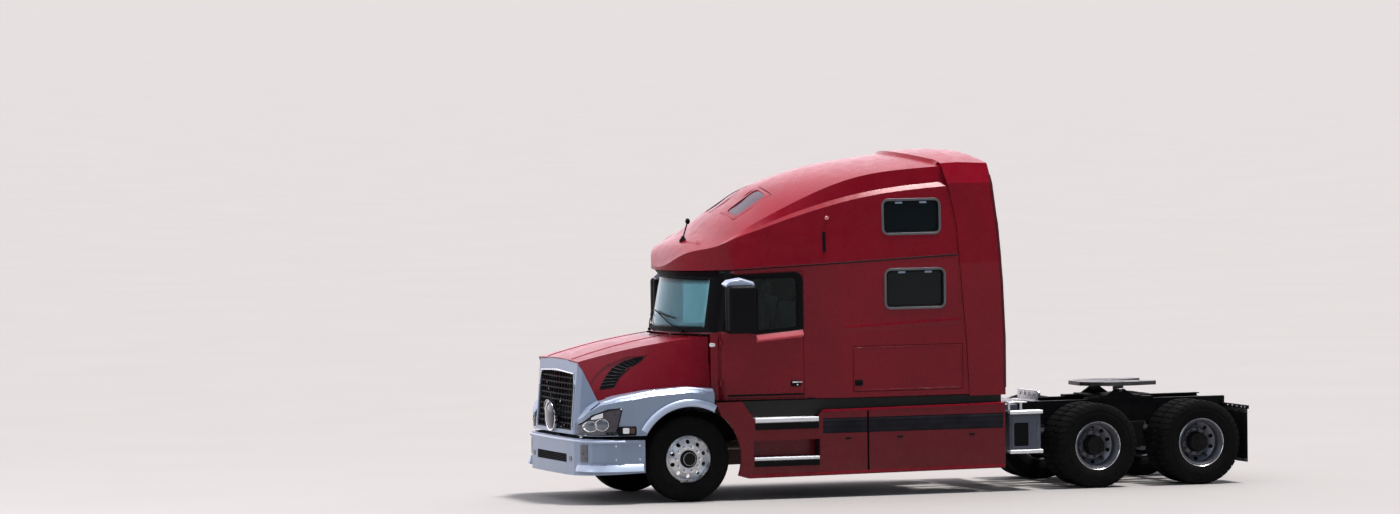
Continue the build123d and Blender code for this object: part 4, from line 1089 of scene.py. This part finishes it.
def fairings():
    ribbed = ((1.2115, 0.753), (1.2185, 0.757), (1.2195, 0.80), (1.2175, 0.806), (1.2195, 0.812),
              (1.2195, 0.868), (1.2175, 0.874), (1.2195, 0.88), (1.2185, 0.923), (1.2115, 0.927))
    band = Piece()
    band.swept(spaced(-3.893, -2.2135, 15), lambda x: ribbed)
    band.swept(spaced(-2.1865, -1.642, 6), lambda x: ribbed)
    band.pair("fairing_band", band_dark, smooth=60)
    Piece().box(-2.211, -2.189, 1.201, 1.2045, 0.30, 1.03).pair("fairing_seam", rubber)

    def top_roll(x):
        z = 1.018 + (-1.63 - x) * 0.0118
        return ((1.175, z - 0.004), (1.222, z - 0.02), (1.2235, z - 0.008), (1.216, z + 0.006),
                (1.175, z + 0.012))

    def foot_roll(x):
        z = 0.2588 + (-0.70 - x) * 0.0087
        return ((1.184, z - 0.004), (1.215, z - 0.006), (1.228, z + 0.012), (1.222, z + 0.034),
                (1.216, z + 0.036))

    Piece().swept((-1.64, -2.2, -2.8, -3.4, -3.915), top_roll).pair("fairing_top_roll", paint, smooth=50)
    Piece().swept(spaced(-3.915, -0.72, 9), foot_roll).pair("fairing_foot_roll", paint, smooth=50)
    grips, tread_shadows = Piece(), Piece()
    # columns: ends of the tread, its nose's foot and top, y of its back rib, foot and top of the black strip
    # under it that stands for the tread's shadow
    for x0, x1, low, high, back, foot, under in ((-1.585, -0.80, 0.893, 0.9535, 1.06, 0.815, 0.892),
                                                 (-1.592, -0.788, 0.452, 0.4935, 1.10, 0.385, 0.451)):
        grips.prism([(1.19, low + 0.004), (1.221, low), (1.229, low + 0.012), (1.229, high - 0.012),
                     (1.221, high), (1.19, high - 0.002)], "x", x0, x1)
        grips.bars(stepped(x0 + 0.02, 0.036, int((x1 - x0) / 0.036)), stepped(back + 0.012, 0.028, 4), 0.018,
                   0.007, high - 0.008, high + 0.0015)
        # A black strip under each tread stands for the shadow that the tread casts.
        face = fairing_skin.side((x0 + x1) / 2, (foot + under) / 2).y
        tread_shadows.prism([(face - 0.004, foot), (face + 0.004, foot), (face + 0.016, under),
                      (face - 0.004, under)],
                     "x", x0, x1)
    grips.pair("tread_edges", alu_bright, bevel=0.002)
    Piece().box(-1.62, -0.76, 1.03, 1.036, 0.475, 0.69).pair("step_kick_plates", paint, bevel=0.002)
    tread_shadows.pair("step_tread_shadows", black, bevel=0.002)
    Piece().box(-3.90, -1.50, 1.100, 1.127, 1.10, 1.168).pair("rocker_seal", rubber)
    latch = Piece()
    for x in (-3.5, -2.6, -1.95):
        latch.plate((x - 0.035, x + 0.035, 0.675, 0.70, 0.01, 3), "y", 1.2195, 1.2235)
    latch.pair("fairing_latches", rail_paint, slot="black_plastic", bevel=0.001)


fairings()


# Nose: vents, flares and small lamps

def arch_strip(inner, outer, y0, high, start, end):
    """A domed strip round the front wheel's arch."""
    rows = []
    for degrees in spaced(start, end, 41):
        a = math.radians(degrees)
        row = []
        for part, lift in ((0.0, -0.004), (0.06, 0.45), (0.25, 0.85), (0.5, 1.0), (0.75, 0.8), (0.95, 0.3),
                           (1.0, -0.004)):
            r = inner + (outer - inner) * part
            row.append((r * math.cos(a), y0 + (lift * high if lift > 0 else lift), HUB + r * math.sin(a)))
        rows.append(row)
    return Piece().solid(rows)


def nose():
    front = divided([(0.975, 1.318), (0.955, 1.37), (0.90, 1.46), (0.815, 1.562), (0.67, 1.64), (0.52, 1.682),
                     (0.435, 1.692)], 0.03)
    back = divided([(0.80, 1.345), (0.775, 1.40), (0.73, 1.465), (0.61, 1.562), (0.53, 1.605), (0.46, 1.65),
                    (0.43, 1.688)], 0.03)
    steps = 26

    def at(line, t):
        place = t * (len(line) - 1)
        i = min(int(place), len(line) - 2)
        return between(line[i], line[i + 1], place - i)

    def across(i, count):
        # points of the hood's side from the vent's front edge to its back edge
        a, b = at(front, i / steps), at(back, i / steps)
        return [hood_skin.side(*between(a, b, t)) for t in spaced(0, 1, count)]

    rows = [[p + Vector((0, 0.002, 0)) for p in across(i, 7)] for i in range(steps + 1)]
    Piece().grid(rows, thick=(0, 0.003, 0)).pair("hood_vent_panel", black, "hood", smooth=60)
    slats = Piece()
    for i in range(2, steps - 1, 2):
        slats.solid([[p + Vector(v) for v in ((-0.004, 0.002, -0.003), (-0.002, 0.009, -0.008),
                                              (0.002, 0.0095, -0.004), (0.004, 0.002, 0.004))]
                     for p in across(i, 6)])
    slats.pair("hood_vent_slats", black, "hood", smooth=40)
    # The flare round the arch is in the lighter silver, a painted highlight.
    arch_strip(0.614, 0.70, 1.2205, 0.016, 31, 118).pair("arch_flare", silver_highlight, "hood", smooth=60)
    arch_strip(0.600, 0.617, 1.196, 0.024, 29, 118).pair("arch_rubber", rubber, "hood", smooth=60)
    # columns: name, material, edges with the corners' radius, faces, bevel
    for name, mat, edges, low, high, bevel in (
            ("turn_lamp_box", black, (0.655, 0.885, 0.797, 0.905, 0.02, 4), 1.190, 1.2085, 0.003),
            ("turn_lamp_white", lamp_white, (0.745, 0.825, 0.822, 0.888, 0.012, 4), 1.2085, 1.2115, 0.001),
            ("turn_lamp_amber", lamp_smoke, (0.675, 0.735, 0.822, 0.888, 0.012, 4), 1.2085, 1.211, 0.001)):
        Piece().plate(edges, "y", low, high).pair(name, mat, "hood", bevel=bevel)
    y = cab_skin.side(-0.346, 1.812).y
    mark = Piece().plate((-0.385, -0.315, 1.79, 1.835, 0.015, 4), "y", y - 0.002, y + 0.012)
    mark.pair("cowl_marker", lamp_white, bevel=0.004)


nose()


# Headlamps, bumper, round lamp and grille

def lens_patch(columns, lift, rows=10):
    """A thin patch on the headlamp through columns of (x, low z, high z), moved back where off the lamp."""
    grid = []
    for t in spaced(0, 1, rows):
        row = []
        for x, low, high in columns:
            tries = (head_skin.side(x - 0.008 * k, low + (high - low) * t, lift) for k in range(12))
            row.append(next((found for found in tries if found is not None), None))
        if None not in row:
            grid.append(row)
    return Piece().grid(grid, thick=(0, -0.003, 0))


def headlamps():
    clear = lens_patch(((1.272, 0.815, 0.865), (1.24, 0.812, 0.91), (1.19, 0.812, 0.97), (1.13, 0.812, 1.02),
                        (1.075, 0.812, 1.05), (1.03, 0.812, 1.07)), 0.002)
    clear.pair("headlamp_field", lamp_grey, "hood", smooth=60)
    shade = lens_patch(((1.024, 0.812, 1.072), (0.96, 0.812, 1.09), (0.90, 0.815, 1.098), (0.86, 0.93, 1.102),
                        (0.838, 1.03, 1.105)), 0.002)
    shade.pair("headlamp_side_field", lamp_dark, "hood", smooth=60)
    rings, bowls = Piece(), Piece()
    for x, z, r in ((1.155, 0.905, 0.058), (1.045, 0.925, 0.066)):
        for piece, steps in (
                (rings, ((r + 0.008, 0.002), (r + 0.005, 0.011), (r, 0.011), (r - 0.006, 0.003))),
                (bowls, ((r - 0.004, 0.001), (r - 0.006, 0.006), (r * 0.6, 0.010), (r * 0.2, 0.012)))):
            piece.solid([[head_skin.side(x + radius * math.cos(a), z + radius * math.sin(a), lift)
                          for a in circle(28)] for radius, lift in steps])
    rings.pair("headlamp_rings", chrome, "hood", smooth=40)
    bowls.pair("headlamp_lenses", lens_grey, "hood", smooth=40)
    top = lens_patch(((1.15, 0.985, 1.008), (1.11, 0.992, 1.035), (1.07, 1.0, 1.052), (1.035, 1.012, 1.066)),
                     0.006, 5)
    top.pair("headlamp_top_light", lamp_white, "hood", smooth=60)
    edge = divided([(1.285, 0.802), (1.285, 0.862), (1.15, 1.028), (0.985, 1.098), (0.822, 1.114),
                    (0.895, 0.806)],
                   0.04)
    points = [head_skin.side(x, z, 0.003) for x, z in edge]
    Piece().tube([p for p in points if p is not None], 0.006, 6).pair("headlamp_rim", black, "hood")


def bumper_trim():
    def bend(*angles):
        # rays toward the middle of the bumper's rounded corner
        ways = [(-math.cos(math.radians(a)), -math.sin(math.radians(a)), 0) for a in angles]
        return [((1.10 - 2 * way[0], 0.82 - 2 * way[1]), way) for way in ways]

    corner = [((x, 3.0), (0, -1, 0)) for x in (0.585, 0.7, 0.8, 0.9, 1.0, 1.08, 1.14)]
    corner += bend(70, 58, 46, 34, 22, 10)
    face = [((3.0, y), (-1, 0, 0)) for y in (0.78, 0.7, 0.6, 0.45, 0.3, 0.15, 0.004)]
    # The lip and the top roll are in the lighter silver: a painted highlight on the bumper's upward faces.
    lip = wrapped(bumper_skin, corner, 0.42, ((-0.052, -0.002), (-0.05, 0.028), (-0.036, 0.036),
                                              (0.03, 0.012), (0.052, 0.001), (0.054, -0.004)))
    lip.pair("bumper_lip", silver_highlight, smooth=45)
    top = wrapped(bumper_skin, corner + face, 0.732, ((-0.018, -0.003), (-0.015, 0.006), (0.0, 0.014),
                                                      (0.014, 0.008), (0.016, -0.003)))
    top.pair("bumper_top_roll", silver_highlight, smooth=45)
    pad = wrapped(bumper_skin, bend(64, 56, 48, 40, 32), 0, ((0.49, -0.003), (0.492, 0.005), (0.52, 0.007),
                                                             (0.66, 0.007), (0.688, 0.005), (0.69, -0.003)))
    pad.pair("bumper_corner_pad", lamp_grey, slot="silver_trim", smooth=45)
    level = 0.60
    mesh = Piece()
    for y in stepped(-0.528, 0.044, 25):
        x = bumper_skin.front(y, level, -0.012).x
        mesh.box(x - 0.006, x + 0.002, y - 0.004, y + 0.004, 0.474, 0.568)
    for z in (0.49, 0.51, 0.53, 0.55):
        rise = Vector((0, 0, z - level))
        mesh.tube([bumper_skin.front(y, level, -0.010) + rise for y in stepped(-0.535, 0.1189, 10)], 0.0035,
                  6)
    mesh.done("bumper_slot_mesh", black)
    rows = []
    for y in spaced(-0.537, 0.537, 19):
        x = bumper_skin.front(y, level, -0.022).x
        rows.append([(x, y, z) for z in (0.474, 0.50, 0.54, 0.568)])
    Piece().grid(rows, thick=(-0.004, 0, 0)).done("bumper_slot_back", black)
    hooks = Piece()
    for y in (-0.66, 0.66):
        x = bumper_skin.front(y, 0.52).x
        hooks.plate((y - 0.045, y + 0.045, 0.492, 0.55, 0.015, 4), "x", x - 0.004, x + 0.004)
    hooks.done("tow_eye_covers", lamp_grey, slot="silver_trim", bevel=0.0015)
    places = [bumper_skin.side(x, z, -0.001) for x in (0.62, 0.9) for z in (0.68, 0.52)]
    Piece().bolts(places, "y", 0.008, 0.006).pair("bumper_bolts", chrome)


def round_lamp():
    x0, z0 = 1.3005, 0.99
    lens = Piece().spun((x0, 0, z0), "x", ((0.0, 0.163), (0.008, 0.160), (0.022, 0.125), (0.030, 0.08),
                                           (0.033, 0.03), (0.034, 0.0)), 56)
    lens.done("round_lamp_lens", lens_dark, "hood", smooth=60)
    rim = Piece().turned((x0, 0, z0), "x", ((-0.004, 0.182), (0.012, 0.184), (0.018, 0.176), (0.012, 0.162),
                                            (-0.004, 0.160)), 64)
    rows = []
    for t in spaced(0, 1, 25):
        a = math.radians(12 + 156 * t)
        fade = math.sin(math.pi * t) ** 0.5 if 0 < t < 1 else 0.06
        rows.append([(x0 + deep, out * math.cos(a), z0 + out * math.sin(a)) for out, deep in
                     ((0.184, -0.02), (0.190, 0.014), (0.188, 0.014 + 0.03 * fade),
                      (0.183, 0.012 + 0.03 * fade), (0.184, 0.010), (0.180, -0.02))])
    rim.solid(rows).done("round_lamp_visor", chrome, "hood", smooth=45)


def grille_trim():
    line = divided([(0.645, 0.86), (0.645, 1.38), (0.60, 1.50), (0.0, 1.528)], 0.06)
    found = [surround_skin.front(y, z) for y, z in line]
    bead = Piece().tube([at + Vector((0.003, 0, 0)) for at in found if at is not None], 0.009, 8)
    bead.pair("grille_bead", chrome, "hood")
    found = [hood_skin.hit((1.18 - 1.42 * t, 0.44 - 0.10 * t, 3.0), DOWN) for t in spaced(0, 1, 24)]
    crease = Piece().tube([hit[0] - Vector((0, 0, 0.006)) for hit in found if hit is not None], 0.012, 8)
    crease.pair("hood_crease_beads", paint, "hood")


headlamps()
bumper_trim()
round_lamp()
grille_trim()


# Roof, sleeper side and luggage doors

def roof_trim():
    base = cab_skin.hit((-0.316, 0.117, 4.0), DOWN)[0]
    foot = Piece().spun(base, "z", ((-0.03, 0.045), (0.006, 0.042), (0.022, 0.028), (0.05, 0.016),
                                    (0.055, 0.0)), 24)
    foot.done("antenna_foot", rubber, smooth=50)
    top = base + Vector((-0.06, 0.0, 0.225))
    mast = Piece().tube((base + Vector((0, 0, 0.03)), base.lerp(top, 0.5) + Vector((0.004, 0, 0)), top),
                        0.008, 8)
    mast.ball(top, 0.028, (1, 1, 1.25), 14)
    mast.done("antenna_mast", black)
    y = cab_skin.side(-1.73, 3.265).y
    mark = Piece().plate((-1.755, -1.705, 3.245, 3.287, 0.015, 4), "y", y - 0.006, y + 0.012)
    mark.pair("side_marker_high", lamp_rose, bevel=0.004)
    slot = Piece().strip([[cab_skin.side(-1.69 + out, z, lift) for out, lift in
                           ((-0.019, -0.002), (-0.015, 0.005), (0.015, 0.005), (0.019, -0.002))]
                          for z in spaced(2.87, 3.105, 9)])
    slot.pair("side_air_slot", black, smooth=40)

    def level_strip(line, section):
        # a strip along a line of (x, z) on the cab's side; section is (height, lift)
        return Piece().strip([[cab_skin.side(x, z + height, lift) for height, lift in section]
                              for x, z in line])

    # A dark strip along the roof seam, painted shadow under the roof moulding's overhang.
    seam = level_strip([(x, 2.651 + 0.157 * (0.1 - x) / 3.6) for x in spaced(-0.62, -3.40, 48)],
                       ((-0.013, -0.002), (-0.010, 0.003), (0.008, 0.005), (0.012, -0.002)))
    seam.pair("roof_seam_shadow", seam_shadow, smooth=40)
    crease = level_strip([(-1.93 - 1.45 * t, 1.968 + 0.062 * t) for t in spaced(0, 1, 34)],
                         ((-0.06, -0.002), (-0.045, 0.001), (0.0, 0.004), (0.02, 0.0045), (0.03, 0.002),
                          (0.036, -0.002)))
    crease.pair("sleeper_crease", paint, smooth=50)


def luggage_trim():
    y = luggage_skin.side(-2.09, 1.33).y
    cup = Piece().plate((-2.145, -2.045, 1.295, 1.365, 0.018, 4), "y", y - 0.004, y + 0.003)
    cup.pair("luggage_handle_cup", black, "luggage_door", bevel=0.001)
    bar = Piece().plate((-2.13, -2.06, 1.335, 1.352, 0.006, 3), "y", y + 0.003, y + 0.012)
    bar.tube(((-2.095, y, 1.312), (-2.095, y + 0.007, 1.312)), 0.008, 14)
    bar.pair("luggage_handle", black, "luggage_door", bevel=0.0015)
    edges = (-3.385, -2.04, 1.24, 1.745)
    bead = Piece().ring(rounded(*edges, 0.03, 4), rounded(*inset(edges, 0.007), 0.026, 4), "y", y - 0.002,
                        y + 0.0025)
    bead.pair("luggage_panel_bead", paint, "luggage_door", bevel=0.001)


roof_trim()
luggage_trim()


# Behind the cab: extender edges, boxes, deck, tail and coupling

TAIL_LAMPS_Y = (-0.36, -0.22, 0.22, 0.36)
COUPLERS_Y = (-0.22, -0.07, 0.07, 0.22)
BACKWARD = (-1, 0, 0)


def extender_edges():
    rows = []
    for z in spaced(1.13, 3.73, 28):
        found = next((f for f in (extender_skin.side(x, z) for x in stepped(-4.4, 0.004, 275)) if f), None)
        if found is not None:
            rows.append([(found.x + a, found.y + b, z) for a, b in
                         ((-0.009, -0.012), (-0.008, 0.002), (-0.003, 0.005), (0.018, 0.005), (0.020, -0.004),
                          (0.004, -0.012))])
    Piece().solid(rows).pair("extender_rubber", seam_red, smooth=40)
    rows = []
    for y in spaced(0, 1.03, 45):
        x = -2.6
        above = None
        while above is None and x > -3.5:
            above = extender_skin.hit((x, y, 5.0), DOWN)
            x -= 0.004
        below = cab_skin.hit((x + 0.04, y, 5.0), DOWN)
        if above is None or below is None or above[0].z - below[0].z > 0.09:
            continue
        high, low = above[0].z, below[0].z
        rows.append([(x + 0.042, y, low - 0.002), (x + 0.036, y, low + 0.003), (x + 0.006, y, high + 0.001),
                     (x - 0.006, y, high + 0.002), (x - 0.012, y, high - 0.002), (x + 0.01, y, low)])
    Piece().solid(rows).pair("extender_ramp", paint, smooth=40)


def boxes_and_deck():
    face = Piece().ring(rounded(-4.36, -4.01, 0.50, 0.88, 0.02, 4),
                        rounded(-4.225, -4.045, 0.525, 0.80, 0.02, 4),
                        "y", 1.179, 1.187)
    face.bars((-4.345, -4.245), (1.186,), 0.018, 0.008, 0.53, 0.80)
    face.pair("battery_box_face", box_grey, bevel=0.003)
    hole = Piece().plate((-4.228, -4.042, 0.522, 0.803, 0.02, 4), "y", 1.178, 1.182)
    for z in (0.58, 0.65, 0.72):
        hole.box(-4.215, -4.055, 1.181, 1.1845, z, z + 0.012)
    hole.pair("battery_box_port", black, bevel=0.001)
    treads = Piece()
    for z0, z1 in ((0.902, 0.945), (0.437, 0.482)):
        treads.prism([(1.10, z1 - 0.006), (1.216, z0), (1.226, z0 + 0.008), (1.226, z1 - 0.006), (1.218, z1),
                      (1.10, z1)], "x", -4.395, -3.982)
        treads.bars(stepped(-4.38, 0.036, 11), stepped(1.115, 0.03, 3), 0.018, 0.008, z1 - 0.003, z1 + 0.003)
    treads.pair("box_treads", alu_bright, bevel=0.002)
    step = Piece().plate((-4.21, -3.955, 1.09, 1.20, 0.02, 4), "z", 1.035, 1.05)
    for x in (-4.17, -4.02):
        step.prism([(x, 0.93), (x + 0.03, 0.93), (x + 0.03, 1.036), (x, 1.036)], "y", 1.11, 1.13)
    step.pair("box_grab_plate", alu, bevel=0.002)
    plate = Piece().box(-4.475, -3.985, -0.425, 0.425, 1.0125, 1.0155)
    for i in range(15):
        for j in range(26):
            x, y = -4.46 + i * 0.033, -0.41 + j * 0.033
            way = 1 if (i + j) % 2 else -1
            plate.prism([(x - 0.009, y - 0.009 * way), (x - 0.006, y - 0.012 * way),
                         (x + 0.009, y + 0.009 * way), (x + 0.006, y + 0.012 * way)], "z", 1.0150, 1.0172)
    plate.done("deck_tread_plate", alu)
    lines = Piece().prism([(-4.70, 1.0), (-4.67, 1.0), (-4.67, 1.12), (-4.70, 1.12)], "y", -0.30, 0.30)
    lines.box(-4.70, -4.60, -0.34, 0.34, 0.985, 1.0)
    caps = Piece()
    for y in COUPLERS_Y:
        lines.tube(((-4.66, y, 1.075), (-4.72, y, 1.075)), 0.026, 16)
        caps.spun((-4.72, y, 1.075), BACKWARD, ((0.0, 0.034), (0.018, 0.036), (0.028, 0.03), (0.032, 0.0)),
                  20)
    lines.done("line_bracket", alu, slot="black_plastic", bevel=0.002)
    caps.done("line_couplers", alu)


def tail():
    lens, rims = Piece(), Piece()
    for y in TAIL_LAMPS_Y:
        centre = (REAR_X, y, 0.83)
        lens.spun(centre, BACKWARD, ((-0.002, 0.056), (0.008, 0.054), (0.013, 0.04), (0.015, 0.0)), 28)
        rims.turned(centre, BACKWARD, ((-0.002, 0.067), (0.006, 0.066), (0.008, 0.058), (-0.002, 0.056)), 28)
    lens.done("tail_lenses", lamp_red)
    rims.plate((-0.13, 0.13, 0.775, 0.885, 0.012, 4), "x", REAR_X - 0.004, REAR_X)
    rims.done("tail_lamp_seats", rubber, bevel=0.001)
    flaps = Piece()
    for y in (0.66, 0.80, 0.94, 1.08, 1.18):
        flaps.bolts([(-7.03, y, 0.898)], BACKWARD, 0.010, 0.009)
        flaps.bolts([(-6.99, y, 0.898)], "x", 0.010, 0.009)
    flaps.box(-6.999, -6.994, 0.62, 1.20, 0.835, 0.878)
    flaps.box(-6.9985, -6.9935, 0.62, 1.20, 0.262, 0.285)
    flaps.pair("flap_clamps", alu, bevel=0.001)
    ribs = Piece().bars((-6.9995,), stepped(0.66, 0.0625, 9), 0.005, 0.02, 0.31, 0.81)
    ribs.pair("flap_ribs", rubber, bevel=0.001)
    places = [(x, 0.431, z) for x in stepped(-3.95, -0.16, 20) for z in (0.80, 0.945)]
    Piece().bolts(places, "y", 0.011, 0.011).pair("rail_bolts", rail_paint)
    straps = Piece()
    for x in (-3.55, -3.05, -2.55):
        straps.turned((x, 0.80, 0.66), "x", ((-0.03, 0.289), (-0.03, 0.2945), (0.03, 0.2945), (0.03, 0.289)),
                      48)
    straps.pair("tank_straps", alu_bright)
    chambers, shocks = Piece(), Piece()
    for x in DRIVE_X:
        chambers.spun((x + 0.20, 0.36, 0.60), (1, 0, -0.25),
                      ((0.0, 0.0), (0.0, 0.06), (0.03, 0.082), (0.07, 0.082), (0.075, 0.09), (0.085, 0.09),
                       (0.09, 0.08), (0.19, 0.075), (0.21, 0.05), (0.21, 0.0)), 28)
        shocks.tube(((x - 0.08, 0.485, 0.36), (x - 0.02, 0.46, 0.62)), 0.028, 16)
        shocks.tube(((x - 0.02, 0.46, 0.60), (x + 0.02, 0.445, 0.80)), 0.036, 16)
    chambers.pair("brake_chambers", cast, smooth=40)
    shocks.pair("shock_absorbers", rail_paint, smooth=40)


def coupling():
    handle = Piece().tube(((-5.62, 0.40, 1.13), (-5.62, 0.50, 1.125), (-5.64, 0.56, 1.125),
                           (-5.70, 0.575, 1.13)),
                          0.008, 8)
    handle.done("coupling_handle", alu, "fifth_wheel", "cast_metal")
    jaw = Piece().turned((FIFTH_X, 0, 1.16), "z", ((0.0, 0.0275), (0.0, 0.062), (0.036, 0.062),
                                                   (0.0385, 0.058), (0.0385, 0.0275)), 40)
    for y in (-0.30, 0.30):
        jaw.plate((FIFTH_X - 0.09, FIFTH_X + 0.09, y - 0.05, y + 0.05, 0.02, 4), "z", 1.1995, 1.203)
    jaw.done("coupling_jaw", greasy, "fifth_wheel", bevel=0.001)


extender_edges()
boxes_and_deck()
tail()
coupling()


# Engine under the hood, and the wall behind the cab

def engine_dress():
    top = Piece().box(-0.37, 0.71, -0.175, 0.175, 1.495, 1.585)
    top.bars(stepped(-0.31, 0.16, 7), (-0.15,), 0.02, 0.30, 1.58, 1.597)
    top.done("rocker_cover", black, bevel=0.012, segments=3)
    bolts = Piece().bolts([(x, y, 1.498) for x in stepped(-0.35, 0.13, 9) for y in (-0.20, 0.20)], "z", 0.011,
                          0.014)
    bolts.spun((0.55, 0.06, 1.597), "z", ((-0.01, 0.045), (0.018, 0.045), (0.026, 0.036), (0.028, 0.0)), 28)
    bolts.done("rocker_bolts", alu)
    ribs = Piece()
    for x in stepped(-0.30, 0.175, 6):
        for side in (-1, 1):
            for z0, z1, out in ((0.76, 1.10, 0.012), (1.16, 1.42, 0.016)):
                ribs.prism([(x - 0.055, 0.299 * side), (x + 0.055, 0.299 * side),
                            (x + 0.035, (0.30 + out) * side), (x - 0.035, (0.30 + out) * side)], "z", z0, z1)
    ribs.done("block_ribs", block_paint, bevel=0.004)
    hot, cool = Piece(), Piece()
    hot.tube([(-0.32, 0.37, 1.34), (0.0, 0.375, 1.335), (0.35, 0.375, 1.335), (0.62, 0.37, 1.34)], 0.042, 14)
    cool.tube([(-0.34, -0.36, 1.38), (0.0, -0.365, 1.385), (0.4, -0.365, 1.385), (0.66, -0.36, 1.38)], 0.055,
              16)
    for x in stepped(-0.28, 0.17, 6):
        hot.tube([(x, 0.295, 1.37), (x, 0.33, 1.365), (x, 0.372, 1.34)], 0.028, 12)
        cool.tube([(x, -0.295, 1.34), (x, -0.33, 1.35), (x, -0.362, 1.375)], 0.034, 12)
    hot.spun((0.16, 0.40, 1.46), "x", ((-0.10, 0.0), (-0.10, 0.06), (-0.085, 0.085), (-0.03, 0.088),
                                       (-0.02, 0.05),
                                       (0.02, 0.05), (0.03, 0.09), (0.085, 0.088), (0.10, 0.06), (0.10, 0.0)),
             36)
    hot.done("exhaust_manifold", steel_hot, smooth=45)
    for x in (-0.12, 0.06):
        cool.spun((x, -0.37, 0.72), "z", ((0.0, 0.0), (0.0, 0.05), (0.01, 0.058), (0.25, 0.058),
                                          (0.27, 0.045), (0.27, 0.0)), 28)
    cool.done("intake_manifold", alu, smooth=45)
    pulleys = Piece()
    for y, z, r in ((0.0, 0.80, 0.105), (0.17, 1.10, 0.075), (-0.17, 1.16, 0.065), (0.0, 1.36, 0.085)):
        pulleys.spun((0.759, y, z), "x", ((0.0, 0.0), (0.0, r), (0.006, r), (0.012, r - 0.012), (0.018, r),
                                          (0.024, r), (0.024, r * 0.4), (0.03, r * 0.35), (0.03, 0.0)), 36)
    pulleys.done("engine_pulleys", cast, smooth=40)


def rear_wall():
    def wall_x(y, z):
        return cab_skin.hit((-6.0, y, z), (1, 0, 0))[0].x

    ribs = Piece()
    for y in (-0.72, -0.24, 0.24, 0.72):
        ribs.solid([[(wall_x(y, z) + deep, y + side, z) for deep, side in
                     ((0.002, -0.05), (-0.014, -0.03), (-0.014, 0.03), (0.002, 0.05))]
                    for z in spaced(1.32, 3.27, 20)])
    ribs.done("rear_wall_ribs", paint, bevel=0.003)
    x = wall_x(0.0, 2.35)
    lamps, lens = Piece(), Piece()
    for y in (-0.48, 0.48):
        lamps.plate((y - 0.07, y + 0.07, 2.30, 2.40, 0.02, 4), "x", x - 0.05, x + 0.004)
        lens.plate((y - 0.058, y + 0.058, 2.312, 2.388, 0.014, 4), "x", x - 0.055, x - 0.049)
    lamps.done("work_lamp_bodies", black, bevel=0.004)
    lens.done("work_lamp_lenses", lamp_white, bevel=0.001)
    rail = Piece()
    for y in (-0.85, 0.85):
        rail.tube([(x + out, y, z) for out, z in ((0.004, 1.35), (-0.05, 1.37), (-0.055, 1.42),
                                                  (-0.055, 1.85), (-0.05, 1.90), (0.004, 1.92))], 0.014, 12)
    rail.done("rear_grab_rails", chrome)


def cab_controls():
    low, high = (Vector(v) - Vector((SHIFT, 0, 0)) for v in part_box("dashboard"))
    x, top = low.x, high.z
    cluster = Piece().plate((0.28, 0.78, top - 0.22, top - 0.06, 0.04, 5), "x", x - 0.022, x + 0.004)
    cluster.done("gauge_cluster", black, bevel=0.004)
    dials = Piece()
    for y in (0.36, 0.47, 0.59, 0.70):
        dials.spun((x - 0.022, y, top - 0.14), BACKWARD, ((0.0, 0.045), (0.006, 0.045), (0.007, 0.039),
                                                          (0.002, 0.038), (0.001, 0.0)), 28)
    dials.done("gauge_rings", chrome)
    vents = Piece()
    for y in (-0.75, -0.25, 0.12):
        edges = (y - 0.08, y + 0.08, top - 0.16, top - 0.08)
        vents.ring(rounded(*edges, 0.012, 3), rounded(*inset(edges, 0.01), 0.008, 3), "x", x - 0.008,
                   x + 0.003)
        for z in stepped(top - 0.139, 0.017, 3):
            vents.box(x - 0.006, x + 0.002, y - 0.07, y + 0.07, z, z + 0.004)
    vents.done("dash_vents", cabin, bevel=0.001)


engine_dress()
rear_wall()
cab_controls()


# A strip painted lighter along the fender's shoulder: a painted highlight where the light falls on it

SLOPE = Vector((0, -0.62, -0.78)).normalized()
ACROSS = Vector((0, 0.78, -0.62))


def shoulder_point(x, across):
    # the fender's shoulder is where its side wall turns to its top
    walls = (fender_skin.hit((x, 3.0, z), (0, -1, 0)) for z in stepped(1.40, -0.01, 60))
    side = next((hit[0] for hit in walls if hit is not None and hit[0].y > 1.0), None)
    found = side and fender_skin.hit(side - SLOPE * 0.6 + ACROSS * (across + 0.012), SLOPE)
    return found and found[0]


def fender_highlight_band():
    rows = []
    for x in spaced(-0.34, 1.02, 34):
        width = 0.062 - 0.02 * max(0.0, (x - 0.6) / 0.42)
        row = []
        for across, lift in ((-0.5, -0.003), (-0.42, 0.003), (0.0, 0.005), (0.42, 0.003), (0.5, -0.003)):
            found = shoulder_point(x, across * width)
            row.append(found and found - SLOPE * lift)
        rows.append(row)
    Piece().strip(rows).pair("fender_top_highlight", silver_highlight, "hood", smooth=60)


fender_highlight_band()
